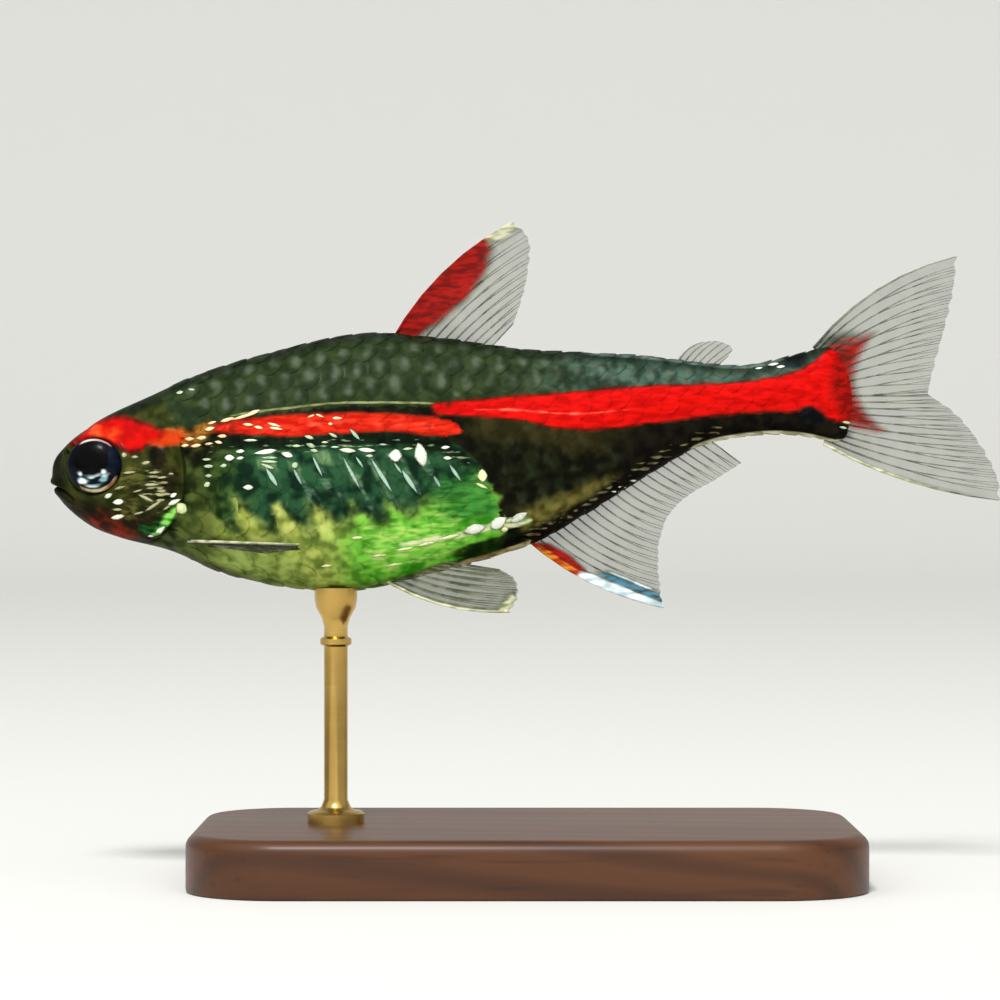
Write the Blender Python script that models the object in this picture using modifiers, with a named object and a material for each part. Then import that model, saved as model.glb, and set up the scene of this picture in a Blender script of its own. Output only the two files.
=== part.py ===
"""A glowlight tetra as a still, life-size display model on a flat base with one rod.

Metres, +Z up. The fish is modelled straight in its own frame, with s running from the
snout to the tail and h upwards, and one empty then sets it at its nose-down swimming pitch.
"""

import math

import bmesh
import bpy
import numpy as np
from mathutils import Matrix, Vector

MM = 0.001
TINY = 1e-9

# Driving sizes, in millimetres
BODY_LENGTH = 33.0
PITCH_DEG = 5.9
SNOUT_X = -20.0
SNOUT_HEIGHT = 17.0
GAP = 0.25

# The side outline from the snout to the tail fin's root, as (s, h)
BACK = [
    (0.0, 0.0), (0.15, 0.66), (0.73, 1.32), (2.27, 2.2), (4.46, 2.97), (6.66, 3.68), (10.1, 4.32),
    (13.6, 4.66), (16.9, 4.12), (20.2, 3.33), (25.2, 2.53), (28.2, 1.86), (29.7, 1.66),
    (31.2, 1.82), (33.0, 2.1),
]
BELLY = [
    (0.0, 0.0), (0.02, -0.34), (0.31, -1.09), (1.38, -2.2), (2.59, -2.84), (4.64, -3.6),
    (6.63, -4.7), (9.1, -5.56), (12.2, -6.05), (15.9, -5.6), (19.7, -4.9), (22.0, -3.95),
    (24.7, -2.62), (27.3, -1.5), (29.6, -1.27), (31.5, -1.47), (33.0, -1.95),
]

# Half the body's thickness, as (s, half width)
HALF_WIDTH = [
    (0.0, 0.0), (0.25, 0.62), (0.9, 1.12), (1.9, 1.56), (3.3, 1.94), (5.3, 2.3), (8.0, 2.6),
    (11.0, 2.7), (14.0, 2.6), (17.0, 2.32), (20.0, 1.95), (24.0, 1.45), (28.0, 1.02), (31.0, 0.76),
    (33.0, 0.58),
]
WIDEST_SHARE = 0.54
UPPER_FULLNESS = 2.1
LOWER_FULLNESS = 1.9
BODY_SIDES = 36
BODY_RINGS = 62
SNOUT_BLUNTNESS = 0.05
SNOUT_SWELL_REACH = 1.5
THINNEST = 0.02

# Head
GILL_EDGE_CENTRE = (0.33, -0.12)
GILL_EDGE_RADIUS = 5.5
GILL_COVER_CENTRE = (4.35, -1.0)
GILL_COVER_HALF_LENGTH = 1.15
GILL_COVER_HALF_HEIGHT = 1.9
GILL_COVER_DEPTH = 0.5
GILL_COVER_PROUD = 0.1
EYE_CENTRE = (1.9, 0.27)
EYE_SINK = 0.2
EYE_FORWARD_DEG = 12.0
EYE_UPWARD = 0.04
MOUTH_FRONT = (-0.05, -0.36)
MOUTH_CORNER = (0.9, -1.05)
MOUTH_HALF_GAP = 0.09
LIP_RADIUS = 0.2
LIP_OFFSET = 0.27
LIP_START = 0.02
LIP_STEPS = 15
LIP_CROWDING = 1.6
LIP_FRONT_BOW = 0.03
NOSTRILS = [(0.86, 0.93, 0.15), (1.08, 1.14, 0.19)]

# The eye's turned profile, from the pupil's middle down the outer side, as (radius, depth)
EYE_PROFILE = [
    (0.0, 0.74), (0.28, 0.71), (0.52, 0.62), (0.7, 0.48), (0.74, 0.4), (0.8, 0.46), (0.98, 0.4),
    (1.12, 0.26), (1.18, 0.06), (1.13, -0.18), (0.9, -0.5), (0.5, -0.7), (0.0, -0.76),
]
EYE_STEPS = 24
SOCKET_SIDES = 28
NOSTRIL_SIDES = 10

# Tail stalk
STALK_START = 28.6

# Fins
FIN_THICKNESS = 0.5
FIN_TIP_THICKNESS = 0.26
FIN_TIP_SHARE = 0.25
RAY_HEIGHT = 0.11
RAY_FOOT_SHARE = 0.24
RAY_TIP_LOSS = 0.75
ROOT_SINK = 0.45
BOW_CROWDING = 1.5
SWING_START = 0.25
SWING_TURNS = 1.5
EDGE_SAMPLES = 200

# Where each fin is rooted, as stations along the back or the belly or as (s, h), (s, y, h) if paired
DORSAL_ROOT = (14.75, 16.6, 18.6)
ADIPOSE_ROOT = (26.6, 27.2, 27.9)
ANAL_ROOT = (19.5, 21.6, 23.6, 25.5, 27.4)
TAIL_CORNER = 32.95
UPPER_LOBE_ROOT = (33.15, 1.0)
LOWER_LOBE_ROOT = (33.15, -1.1)
TAIL_SPLIT = [(33.2, -0.08), (37.1, -0.3)]
PELVIC_ROOT = [(13.0, -5.8), (13.9, -5.6), (14.8, -5.35)]
PECTORAL_ROOT = [(5.3, -3.1), (5.7, -3.3), (6.1, -3.5)]
SHOULDER = (5.6, -3.3)

# Free margin of each fin from its front ray to its last
DORSAL_MARGIN = [(20.45, 8.75), (21.05, 8.0), (20.9, 6.7), (20.5, 5.5), (20.0, 4.4)]
ADIPOSE_MARGIN = [(27.9, 2.85), (28.6, 2.8), (29.1, 2.45), (28.9, 2.15)]
ANAL_MARGIN = [
    (25.1, -8.15), (25.05, -6.7), (25.2, -5.4), (25.7, -4.3), (26.6, -3.55), (27.7, -3.05), (29.0, -2.4),
]
UPPER_LOBE_MARGIN = [(38.95, 5.35), (38.75, 4.2), (38.2, 2.6), (37.5, 0.9)]
LOWER_LOBE_MARGIN = [(39.7, -5.1), (39.75, -4.2), (39.1, -2.6), (38.2, -1.3)]
PELVIC_MARGIN = [(18.6, 2.3, -7.6), (19.0, 2.1, -7.0), (19.0, 1.7, -6.35), (18.4, 1.3, -5.85)]
PECTORAL_MARGIN = [(10.3, 4.2, -3.95), (10.2, 3.6, -4.0), (9.7, 2.9, -4.0), (8.9, 2.2, -4.0)]

# Each fin's rays, rows of faces along a ray, bow of its front rays and swing of its margin
FIN_MAKE = {
    "dorsal_fin": (10, 8, 0.55, 0.18),
    "adipose_fin": (3, 5, 0.25, 0.0),
    "anal_fin": (16, 6, -0.45, -0.15),
    "tail_fin_upper_lobe": (9, 8, 0.62, 0.3),
    "tail_fin_lower_lobe": (9, 8, -0.4, 0.3),
    "pelvic_fin": (7, 6, -0.5, 0.0),
    "pectoral_fin": (9, 6, 0.0, 0.0),
}

# Stand
BASE_LENGTH = 28.0
BASE_DEPTH = 17.0
BASE_HEIGHT = 2.4
BASE_CORNER = 4.0
BASE_EDGE = 0.5
BASE_CORNER_STEPS = 8
BASE_EDGE_STEPS = 3
ROD_STATION = 11.4
ROD_RADIUS = 0.5
ROD_COLLAR_RADIUS = 1.2
ROD_COLLAR_HEIGHT = 0.5
ROD_COLLAR_SLOPE = 0.3
ROD_CUP_RADIUS = 0.85
ROD_CUP_HEIGHT = 0.8
ROD_CUP_SLOPE = 0.7
ROD_CUP_RISE = 0.6
ROD_STEPS = 24

# How far the cutters reach past the fish, and their sides
PAST_SNOUT = -10.0
PAST_TAIL = 60.0
CUT_HALF_WIDTH = 6.0
CUT_HALF_HEIGHT = 12.0
DRUM_SIDES = 72
GILL_SIDES = 40

# Points closer than this are one, and edges sharper than this stay sharp in the shading
WELD = 0.001
SHARP_DEG = 35.0

# Colours as seen on the fish, linear RGB with roughness and metallic value
FINISHES = {
    "back_olive": ((0.075, 0.095, 0.06), 0.35, 0.0),
    "flank_green": ((0.16, 0.24, 0.1), 0.32, 0.0),
    "gill_gold_green": ((0.3, 0.36, 0.12), 0.25, 0.4),
    "eye_black": ((0.004, 0.006, 0.014), 0.08, 0.0),
    "fin_clear_grey": ((0.3, 0.34, 0.26), 0.3, 0.0),
    "fin_dark_red": ((0.17, 0.005, 0.003), 0.35, 0.0),
    "stand_wood": ((0.06, 0.03, 0.017), 0.4, 0.0),
    "stand_brass": ((0.65, 0.45, 0.18), 0.3, 1.0),
}


def clear_scene():
    for obj in list(bpy.data.objects):
        bpy.data.objects.remove(obj, do_unlink=True)


def new_collection(name):
    collection = bpy.data.collections.new(name)
    bpy.context.scene.collection.children.link(collection)
    return collection


def make_material(name):
    colour, roughness, metallic = FINISHES[name]
    material = bpy.data.materials.new(name)
    material.use_nodes = True
    shader = material.node_tree.nodes["Principled BSDF"]
    shader.inputs["Base Color"].default_value = (*colour, 1.0)
    shader.inputs["Roughness"].default_value = roughness
    shader.inputs["Metallic"].default_value = metallic
    return material


# Outlines

def smooth_curve(points, per_span=20):
    """Points along a centripetal Catmull-Rom curve through these points, any number of dimensions."""
    known = np.array(points, float)
    known = np.vstack([2 * known[0] - known[1], known, 2 * known[-1] - known[-2]])
    shares = np.linspace(0.0, 1.0, per_span, endpoint=False)[:, None]
    made = []
    for before, start, end, after in zip(known, known[1:], known[2:], known[3:]):
        times = [0.0]
        for a, b in ((before, start), (start, end), (end, after)):
            times.append(times[-1] + max(np.linalg.norm(b - a), TINY) ** 0.5)
        t0, t1, t2, t3 = times
        t = t1 + (t2 - t1) * shares
        a1 = (t1 - t) / (t1 - t0) * before + (t - t0) / (t1 - t0) * start
        a2 = (t2 - t) / (t2 - t1) * start + (t - t1) / (t2 - t1) * end
        a3 = (t3 - t) / (t3 - t2) * end + (t - t2) / (t3 - t2) * after
        b1 = (t2 - t) / (t2 - t0) * a1 + (t - t0) / (t2 - t0) * a2
        b2 = (t3 - t) / (t3 - t1) * a2 + (t - t1) / (t3 - t1) * a3
        made.append((t2 - t) / (t2 - t1) * b1 + (t - t1) / (t2 - t1) * b2)
    made.append(known[-2:-1])
    return np.vstack(made)


def split_at_tip(curve):
    """The two branches of a curve that turns round at its least s, as functions of s."""
    tip = int(np.argmin(curve[:, 0]))
    lower, upper = curve[tip::-1], curve[tip:]

    def reader(branch):
        along = np.maximum.accumulate(branch[:, 0])
        return lambda s: np.interp(s, along, branch[:, 1])

    return reader(lower), reader(upper)


belly_height, back_height = split_at_tip(smooth_curve(BELLY[:0:-1] + BACK))
MIRRORED_WIDTH = [(s, -half) for s, half in HALF_WIDTH[:0:-1]] + HALF_WIDTH
_, half_width = split_at_tip(smooth_curve(MIRRORED_WIDTH))


def section(s):
    """The back, belly, widest level and half width of the body at a station."""
    back, belly = float(back_height(s)), float(belly_height(s))
    widest = belly + WIDEST_SHARE * (back - belly)
    return back, belly, widest, float(half_width(s))


def skin_point(s, angle, grow=0.0):
    """A point of the body's skin, with angle 0 on the right flank and a quarter turn on the back."""
    back, belly, widest, half = section(s)
    cosine, sine = math.cos(angle), math.sin(angle)
    fullness = UPPER_FULLNESS if sine >= 0 else LOWER_FULLNESS
    reach = max((back - widest if sine >= 0 else widest - belly) + grow, THINNEST)
    across = math.copysign(abs(cosine) ** (2 / fullness), cosine) * max(half + grow, THINNEST)
    up = math.copysign(abs(sine) ** (2 / fullness), sine) * reach
    return Vector((s, across, widest + up))


def flank(s, h):
    """Half the body's thickness at a point of its side view."""
    back, belly, widest, half = section(s)
    fullness = UPPER_FULLNESS if h >= widest else LOWER_FULLNESS
    reach = max(back - widest if h >= widest else widest - belly, TINY)
    share = min(abs(h - widest) / reach, 1.0)
    return half * (1 - share**fullness) ** (1 / fullness)


# Mesh helpers

def place_object(name, mesh, collection):
    obj = bpy.data.objects.new(name, mesh)
    collection.objects.link(obj)
    return obj


def face_outwards(bm):
    bmesh.ops.recalc_face_normals(bm, faces=bm.faces)
    if bm.calc_volume(signed=True) < 0:
        bmesh.ops.reverse_faces(bm, faces=bm.faces)


def finish_mesh(name, bm, collection):
    """Writes a bmesh that was built in millimetres to a new object in metres."""
    bmesh.ops.transform(bm, matrix=Matrix.Scale(MM, 4), verts=bm.verts)
    face_outwards(bm)
    mesh = bpy.data.meshes.new(name)
    bm.to_mesh(mesh)
    bm.free()
    return place_object(name, mesh, collection)


def make_helper(obj):
    obj.hide_render = True
    obj.display_type = "WIRE"
    return obj


def evaluated_mesh(obj):
    graph = bpy.context.evaluated_depsgraph_get()
    return bpy.data.meshes.new_from_object(obj.evaluated_get(graph))


def keep_largest_surface(mesh):
    """Drops all but the connected surface with the most faces, and welds doubled points."""
    bm = bmesh.new()
    bm.from_mesh(mesh)
    bmesh.ops.remove_doubles(bm, verts=bm.verts, dist=WELD / 2 * MM)
    bm.verts.ensure_lookup_table()
    unseen = set(bm.verts)
    shells = []
    while unseen:
        shell, edge_of_search = set(), [unseen.pop()]
        while edge_of_search:
            vert = edge_of_search.pop()
            shell.add(vert)
            for edge in vert.link_edges:
                other = edge.other_vert(vert)
                if other in unseen:
                    unseen.discard(other)
                    edge_of_search.append(other)
        shells.append(shell)
    shells.sort(key=len, reverse=True)
    scraps = [vert for shell in shells[1:] for vert in shell]
    bmesh.ops.delete(bm, geom=scraps, context="VERTS")
    bm.to_mesh(mesh)
    bm.free()


def combine(obj, operation, others):
    """Applies a Boolean with closed meshes, and keeps the largest surface."""
    group = bpy.data.collections.new("joined")
    for other in others:
        group.objects.link(other)
    modifier = obj.modifiers.new("combine", "BOOLEAN")
    modifier.operation = operation
    modifier.solver = "EXACT"
    if operation == "INTERSECT":
        modifier.object = others[0]
    else:
        modifier.operand_type = "COLLECTION"
        modifier.collection = group
    mesh = evaluated_mesh(obj)
    obj.modifiers.clear()
    keep_largest_surface(mesh)
    obj.data = mesh
    bpy.data.collections.remove(group)
    return obj


def discard(objects):
    for obj in objects:
        bpy.data.objects.remove(obj, do_unlink=True)


def drum(name, centre, radii, collection, sides=DRUM_SIDES):
    """A cutter: an upright disc in side view, run through the fish from left to right."""
    bm = bmesh.new()
    bmesh.ops.create_cone(
        bm, cap_ends=True, segments=sides, radius1=1.0, radius2=1.0, depth=2 * CUT_HALF_WIDTH
    )
    turn = Matrix.Rotation(math.radians(90), 4, "X")
    size = Matrix.Diagonal((radii[0], 1.0, radii[1], 1.0))
    shift = Matrix.Translation((centre[0], 0.0, centre[1]))
    bmesh.ops.transform(bm, matrix=shift @ size @ turn, verts=bm.verts)
    return make_helper(finish_mesh(name, bm, collection))


def block(name, low, high, collection, tilt=None):
    """A cutter: a box between two corners, or one that tilt then turns and places."""
    bm = bmesh.new()
    bmesh.ops.create_cube(bm, size=1.0)
    size = [b - a for a, b in zip(low, high)]
    middle = [(a + b) / 2 for a, b in zip(low, high)]
    placed = Matrix.Translation(middle) @ Matrix.Diagonal((*size, 1.0))
    bmesh.ops.transform(bm, matrix=(tilt or Matrix.Identity(4)) @ placed, verts=bm.verts)
    return make_helper(finish_mesh(name, bm, collection))


# Body

def ring_station(share):
    """Where a ring lies along the body, closer together towards the blunt snout."""
    return BODY_LENGTH * share * share * (1 + SNOUT_BLUNTNESS) / (share + SNOUT_BLUNTNESS)


def body_form(name, collection, grow=0.0):
    """The whole body as a UV sphere laid along the fish, swollen by grow on every side."""
    bm = bmesh.new()
    bmesh.ops.create_uvsphere(bm, u_segments=BODY_SIDES, v_segments=BODY_RINGS, radius=1.0)
    for vert in bm.verts:
        ring = round(math.acos(max(-1.0, min(1.0, vert.co.z))) / math.pi * BODY_RINGS)
        angle = math.atan2(vert.co.y, vert.co.x) + math.pi / BODY_SIDES
        if ring == 0:
            vert.co = Vector((-grow, 0.0, 0.0))
        elif ring == BODY_RINGS:
            vert.co = Vector((BODY_LENGTH + grow, 0.0, section(BODY_LENGTH)[2]))
        else:
            s = ring_station(ring / (BODY_RINGS - 1))
            vert.co = skin_point(s, angle, grow)
            if ring == BODY_RINGS - 1:
                vert.co.x += grow
            vert.co.x -= grow * max(0.0, 1 - s / SNOUT_SWELL_REACH)
    return finish_mesh(name, bm, collection)


def lip(name, offset, collection):
    """A thin roll along one edge of the mouth, from one corner round the front to the other."""
    front, corner = Vector(MOUTH_FRONT), Vector(MOUTH_CORNER)
    along = (corner - front).normalized()
    shift = Vector((-along.y, along.x)) * offset
    side = []
    for step in range(LIP_STEPS):
        reach = LIP_START + (1 - LIP_START) * (step / (LIP_STEPS - 1)) ** LIP_CROWDING
        s, h = front + shift + (corner - front) * reach
        half = flank(max(s, 0.0), h)
        if half > THINNEST:
            side.append((s, half, h))
    path = [(s, y, h) for s, y, h in reversed(side)]
    path += [(side[0][0] - LIP_FRONT_BOW, 0.0, side[0][2])]
    path += [(s, -y, h) for s, y, h in side]
    curve = bpy.data.curves.new(name, "CURVE")
    curve.dimensions = "3D"
    curve.bevel_depth = LIP_RADIUS * MM
    curve.bevel_resolution = 2
    curve.use_fill_caps = True
    spline = curve.splines.new("POLY")
    spline.points.add(len(path) - 1)
    for point, place in zip(spline.points, path):
        point.co = (*(v * MM for v in place), 1.0)
    drawn = place_object(name + "_line", curve, collection)
    bpy.context.view_layer.update()
    mesh = evaluated_mesh(drawn)
    discard([drawn])
    bm = bmesh.new()
    bm.from_mesh(mesh)
    bmesh.ops.remove_doubles(bm, verts=bm.verts, dist=WELD * MM)
    face_outwards(bm)
    bm.to_mesh(mesh)
    bm.free()
    return place_object(name, mesh, collection)


def mouth_slit(collection):
    """The gap between the lips, a thin slab that runs back and down to the mouth's corners."""
    front, corner = Vector(MOUTH_FRONT), Vector(MOUTH_CORNER)
    along = corner - front
    tilt = Matrix.Translation((front.x, 0.0, front.y)) @ Matrix.Rotation(
        math.atan2(-along.y, along.x), 4, "Y"
    )
    low = (-1.0, -CUT_HALF_WIDTH, -MOUTH_HALF_GAP)
    high = (along.length, CUT_HALF_WIDTH, MOUTH_HALF_GAP)
    return block("mouth_slit", low, high, collection, tilt)


def eye_matrix(side):
    """From an eye's own axes, with +Z out of the head, to the fish's frame in millimetres."""
    s, h = EYE_CENTRE
    depth = flank(s, h) - EYE_SINK
    outwards = Vector((-math.sin(math.radians(EYE_FORWARD_DEG)), side, EYE_UPWARD)).normalized()
    turn = outwards.to_track_quat("Z", "Y").to_matrix().to_4x4()
    return Matrix.Translation((s, side * depth, h)) @ turn


def eye(name, side, collection):
    """The eyeball with its raised pupil, turned from a profile."""
    mesh = bpy.data.meshes.new(name)
    points = [(radius * MM, 0.0, depth * MM) for radius, depth in EYE_PROFILE]
    mesh.from_pydata(points, [(i, i + 1) for i in range(len(points) - 1)], [])
    obj = place_object(name, mesh, collection)
    screw = obj.modifiers.new("turn", "SCREW")
    screw.axis = "Z"
    screw.steps = EYE_STEPS
    screw.render_steps = EYE_STEPS
    screw.use_merge_vertices = True
    screw.merge_threshold = WELD * MM
    placed = eye_matrix(side)
    placed.translation *= MM
    obj.matrix_basis = placed
    return obj


def eye_socket(name, side, collection):
    bm = bmesh.new()
    bmesh.ops.create_uvsphere(
        bm, u_segments=SOCKET_SIDES, v_segments=SOCKET_SIDES // 2, radius=1.0
    )
    widest = max(radius for radius, _ in EYE_PROFILE) + GAP
    deepest = -min(depth for _, depth in EYE_PROFILE) + GAP
    bmesh.ops.transform(bm, matrix=Matrix.Diagonal((widest, widest, deepest, 1.0)), verts=bm.verts)
    bmesh.ops.transform(bm, matrix=eye_matrix(side), verts=bm.verts)
    return make_helper(finish_mesh(name, bm, collection))


def nostril(name, s, h, radius, side, collection):
    bm = bmesh.new()
    bmesh.ops.create_uvsphere(
        bm, u_segments=NOSTRIL_SIDES, v_segments=NOSTRIL_SIDES // 2 + 1, radius=radius
    )
    place = Matrix.Translation((s, side * flank(s, h), h))
    bmesh.ops.transform(bm, matrix=place, verts=bm.verts)
    return make_helper(finish_mesh(name, bm, collection))


def gill_parts(side, collection, cutters):
    """One gill cover plate, and the pocket that the head is cut with to take it."""
    word = "right" if side > 0 else "left"
    radii = (GILL_COVER_HALF_LENGTH, GILL_COVER_HALF_HEIGHT)
    low = (0.0, min(0.0, side * CUT_HALF_WIDTH), -CUT_HALF_HEIGHT)
    high = (STALK_START, max(0.0, side * CUT_HALF_WIDTH), CUT_HALF_HEIGHT)

    plate = body_form("gill_cover_" + word, collection, GILL_COVER_PROUD)
    shape = drum("gill_outline", GILL_COVER_CENTRE, radii, cutters, GILL_SIDES)
    half_space = block("gill_side", low, high, cutters)
    core = make_helper(body_form("gill_core", cutters, -GILL_COVER_DEPTH))
    combine(plate, "INTERSECT", [shape])
    combine(plate, "INTERSECT", [half_space])
    combine(plate, "DIFFERENCE", [core])

    wider = tuple(radius + GAP for radius in radii)
    pocket = drum("gill_pocket_" + word, GILL_COVER_CENTRE, wider, cutters, GILL_SIDES)
    floor = make_helper(body_form("gill_floor", cutters, -GILL_COVER_DEPTH - GAP))
    combine(pocket, "INTERSECT", [half_space])
    combine(pocket, "DIFFERENCE", [floor])
    discard([shape, half_space, core, floor])
    return plate, make_helper(pocket)


def make_body(fish, cutters):
    """Models the body whole, then parts it into head, trunk and tail stalk with thin cuts."""
    head = body_form("head", fish)
    lips = [lip("upper_lip", LIP_OFFSET, cutters), lip("lower_lip", -LIP_OFFSET, cutters)]
    combine(head, "UNION", lips)
    discard(lips)

    front = drum("head_reach", GILL_EDGE_CENTRE, [GILL_EDGE_RADIUS - GAP / 2] * 2, cutters)
    combine(head, "INTERSECT", [front])
    eyes, sockets, pits, covers = [], [], [], []
    for side, word in ((1, "right"), (-1, "left")):
        eyes.append(eye("eye_" + word, side, fish))
        sockets.append(eye_socket("eye_socket_" + word, side, cutters))
        for number, (s, h, radius) in enumerate(NOSTRILS):
            pits.append(nostril(f"nostril_{word}_{number}", s, h, radius, side, cutters))
        cover, pocket = gill_parts(side, fish, cutters)
        covers.append(cover)
        sockets.append(pocket)
    combine(head, "DIFFERENCE", [mouth_slit(cutters), *sockets, *pits])

    trunk = body_form("trunk", fish)
    behind = drum("head_cut", GILL_EDGE_CENTRE, [GILL_EDGE_RADIUS + GAP / 2] * 2, cutters)
    rear_low = (STALK_START - GAP / 2, -CUT_HALF_WIDTH, -CUT_HALF_HEIGHT)
    rear = block("stalk_cut", rear_low, (PAST_TAIL, CUT_HALF_WIDTH, CUT_HALF_HEIGHT), cutters)
    combine(trunk, "DIFFERENCE", [behind, rear])

    stalk = body_form("tail_stalk", fish)
    ahead_low = (PAST_SNOUT, -CUT_HALF_WIDTH, -CUT_HALF_HEIGHT)
    ahead_high = (STALK_START + GAP / 2, CUT_HALF_WIDTH, CUT_HALF_HEIGHT)
    ahead = block("trunk_cut", ahead_low, ahead_high, cutters)
    combine(stalk, "DIFFERENCE", [ahead])
    return head, trunk, stalk, eyes, covers


# Fins

def resample(points, count):
    """Points spaced evenly by length along a smooth curve."""
    dense = smooth_curve(points)
    lengths = np.concatenate([[0.0], np.cumsum(np.linalg.norm(np.diff(dense, axis=0), axis=1))])
    wanted = np.linspace(0.0, lengths[-1], count)
    return np.stack([np.interp(wanted, lengths, dense[:, i]) for i in range(dense.shape[1])], 1)


def ray_columns(rays):
    """Where the grid's columns lie across a fin: each ray's crest with a foot on either side."""
    columns = []
    for ray in range(rays):
        for offset in (-RAY_FOOT_SHARE, 0.0, RAY_FOOT_SHARE):
            place = (ray + offset) / (rays - 1)
            if 0.0 <= place <= 1.0:
                columns.append((place, offset == 0.0))
    return columns


def fin(name, root, margin, cutter, fish, sink, side=""):
    """A fin from its root line to its free margin, both as (s, y, h), with raised rays.

    The bow bends the front rays in the fin's own surface, and the swing moves the margin from
    side to side. The root is sunk into the body by sink and cut back clear of it.
    """
    rays, rows, bow, swing = FIN_MAKE[name]
    columns = ray_columns(rays)
    bm = bmesh.new()
    bmesh.ops.create_grid(bm, x_segments=len(columns) - 1, y_segments=rows, size=1.0)
    share = np.array([place for place, _ in columns])
    even = np.linspace(0.0, 1.0, EDGE_SAMPLES)
    roots, tips = resample(root, len(even)), resample(margin, len(even))
    weights = {}
    thickest = FIN_THICKNESS + 2 * RAY_HEIGHT
    for vert in bm.verts:
        column = round((vert.co.x + 1) / 2 * (len(columns) - 1))
        out = (vert.co.y + 1) / 2
        place, crest = share[column], columns[column][1]
        start = Vector([np.interp(place, even, roots[:, i]) for i in range(3)]) - Vector(sink)
        end = Vector([np.interp(place, even, tips[:, i]) for i in range(3)])
        ray = end - start
        sideways = Vector((-ray.z, 0.0, ray.x)).normalized()
        bend = bow * (1 - place) ** BOW_CROWDING * 4 * out * (1 - out)
        aside = swing * out * out * math.sin(math.pi * (SWING_START + SWING_TURNS * place))
        vert.co = start + ray * out + sideways * bend + Vector((0.0, aside, 0.0))
        thinning = min(1.0, (1.0 - out) / FIN_TIP_SHARE)
        film = FIN_TIP_THICKNESS + (FIN_THICKNESS - FIN_TIP_THICKNESS) * thinning
        height = 2 * RAY_HEIGHT * (1 - RAY_TIP_LOSS * out) if crest else 0.0
        weights[vert.index] = (film + height) / thickest
    bmesh.ops.triangulate(bm, faces=bm.faces, quad_method="FIXED")
    bmesh.ops.transform(bm, matrix=Matrix.Scale(MM, 4), verts=bm.verts)
    mesh = bpy.data.meshes.new(name + side)
    bm.to_mesh(mesh)
    bm.free()
    obj = place_object(name + side, mesh, fish)
    group = obj.vertex_groups.new(name="thickness")
    for index, weight in weights.items():
        group.add([index], weight, "REPLACE")
    shell = obj.modifiers.new("thickness", "SOLIDIFY")
    shell.thickness = thickest * MM
    shell.offset = 0.0
    shell.vertex_group = "thickness"
    obj.data = evaluated_mesh(obj)
    obj.modifiers.clear()
    bm = bmesh.new()
    bm.from_mesh(obj.data)
    face_outwards(bm)
    bm.to_mesh(obj.data)
    bm.free()
    return combine(obj, "DIFFERENCE", [cutter])


def midline(points):
    """Points of the fish's middle plane, as (s, y, h)."""
    return [(s, 0.0, h) for s, h in points]


def make_fins(fish, cutters):
    """Every fin, each cut back from the body by the gap that touching meshes keep."""
    grown = make_helper(body_form("body_clearance", cutters, GAP))
    up, down, back = (0.0, 0.0, ROOT_SINK), (0.0, 0.0, -ROOT_SINK), (ROOT_SINK, 0.0, 0.0)
    fins = []
    for name, edge, stations, margin, sink in (
        ("dorsal_fin", back_height, DORSAL_ROOT, DORSAL_MARGIN, up),
        ("adipose_fin", back_height, ADIPOSE_ROOT, ADIPOSE_MARGIN, up),
        ("anal_fin", belly_height, ANAL_ROOT, ANAL_MARGIN, down),
    ):
        root = midline([(s, edge(s)) for s in stations])
        fins.append(fin(name, root, midline(margin), grown, fish, sink))

    top, bottom, _, _ = section(BODY_LENGTH)
    for name, way, corner, middle, margin in (
        ("tail_fin_upper_lobe", 1, top, UPPER_LOBE_ROOT, UPPER_LOBE_MARGIN),
        ("tail_fin_lower_lobe", -1, bottom, LOWER_LOBE_ROOT, LOWER_LOBE_MARGIN),
    ):
        start, fork = [(s, h + way * GAP / 2) for s, h in TAIL_SPLIT]
        root = midline([(TAIL_CORNER, corner), middle, start])
        fins.append(fin(name, root, midline([*margin, fork]), grown, fish, back))

    for side, word in ((1, "_right"), (-1, "_left")):
        inner, outer = flank(*PELVIC_ROOT[0]), flank(*PELVIC_ROOT[-1])
        widths = (inner, (inner + outer) / 2, outer)
        root = [(s, side * width, h) for (s, h), width in zip(PELVIC_ROOT, widths)]
        margin = [(s, side * y, h) for s, y, h in PELVIC_MARGIN]
        sink = (0.0, side * ROOT_SINK, -ROOT_SINK)
        fins.append(fin("pelvic_fin", root, margin, grown, fish, sink, word))
        root = [(s, side * flank(*SHOULDER), h) for s, h in PECTORAL_ROOT]
        margin = [(s, side * y, h) for s, y, h in PECTORAL_MARGIN]
        fins.append(fin("pectoral_fin", root, margin, grown, fish, (0.0, side * ROOT_SINK, 0.0), word))
    return fins, grown


# Stand

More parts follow.
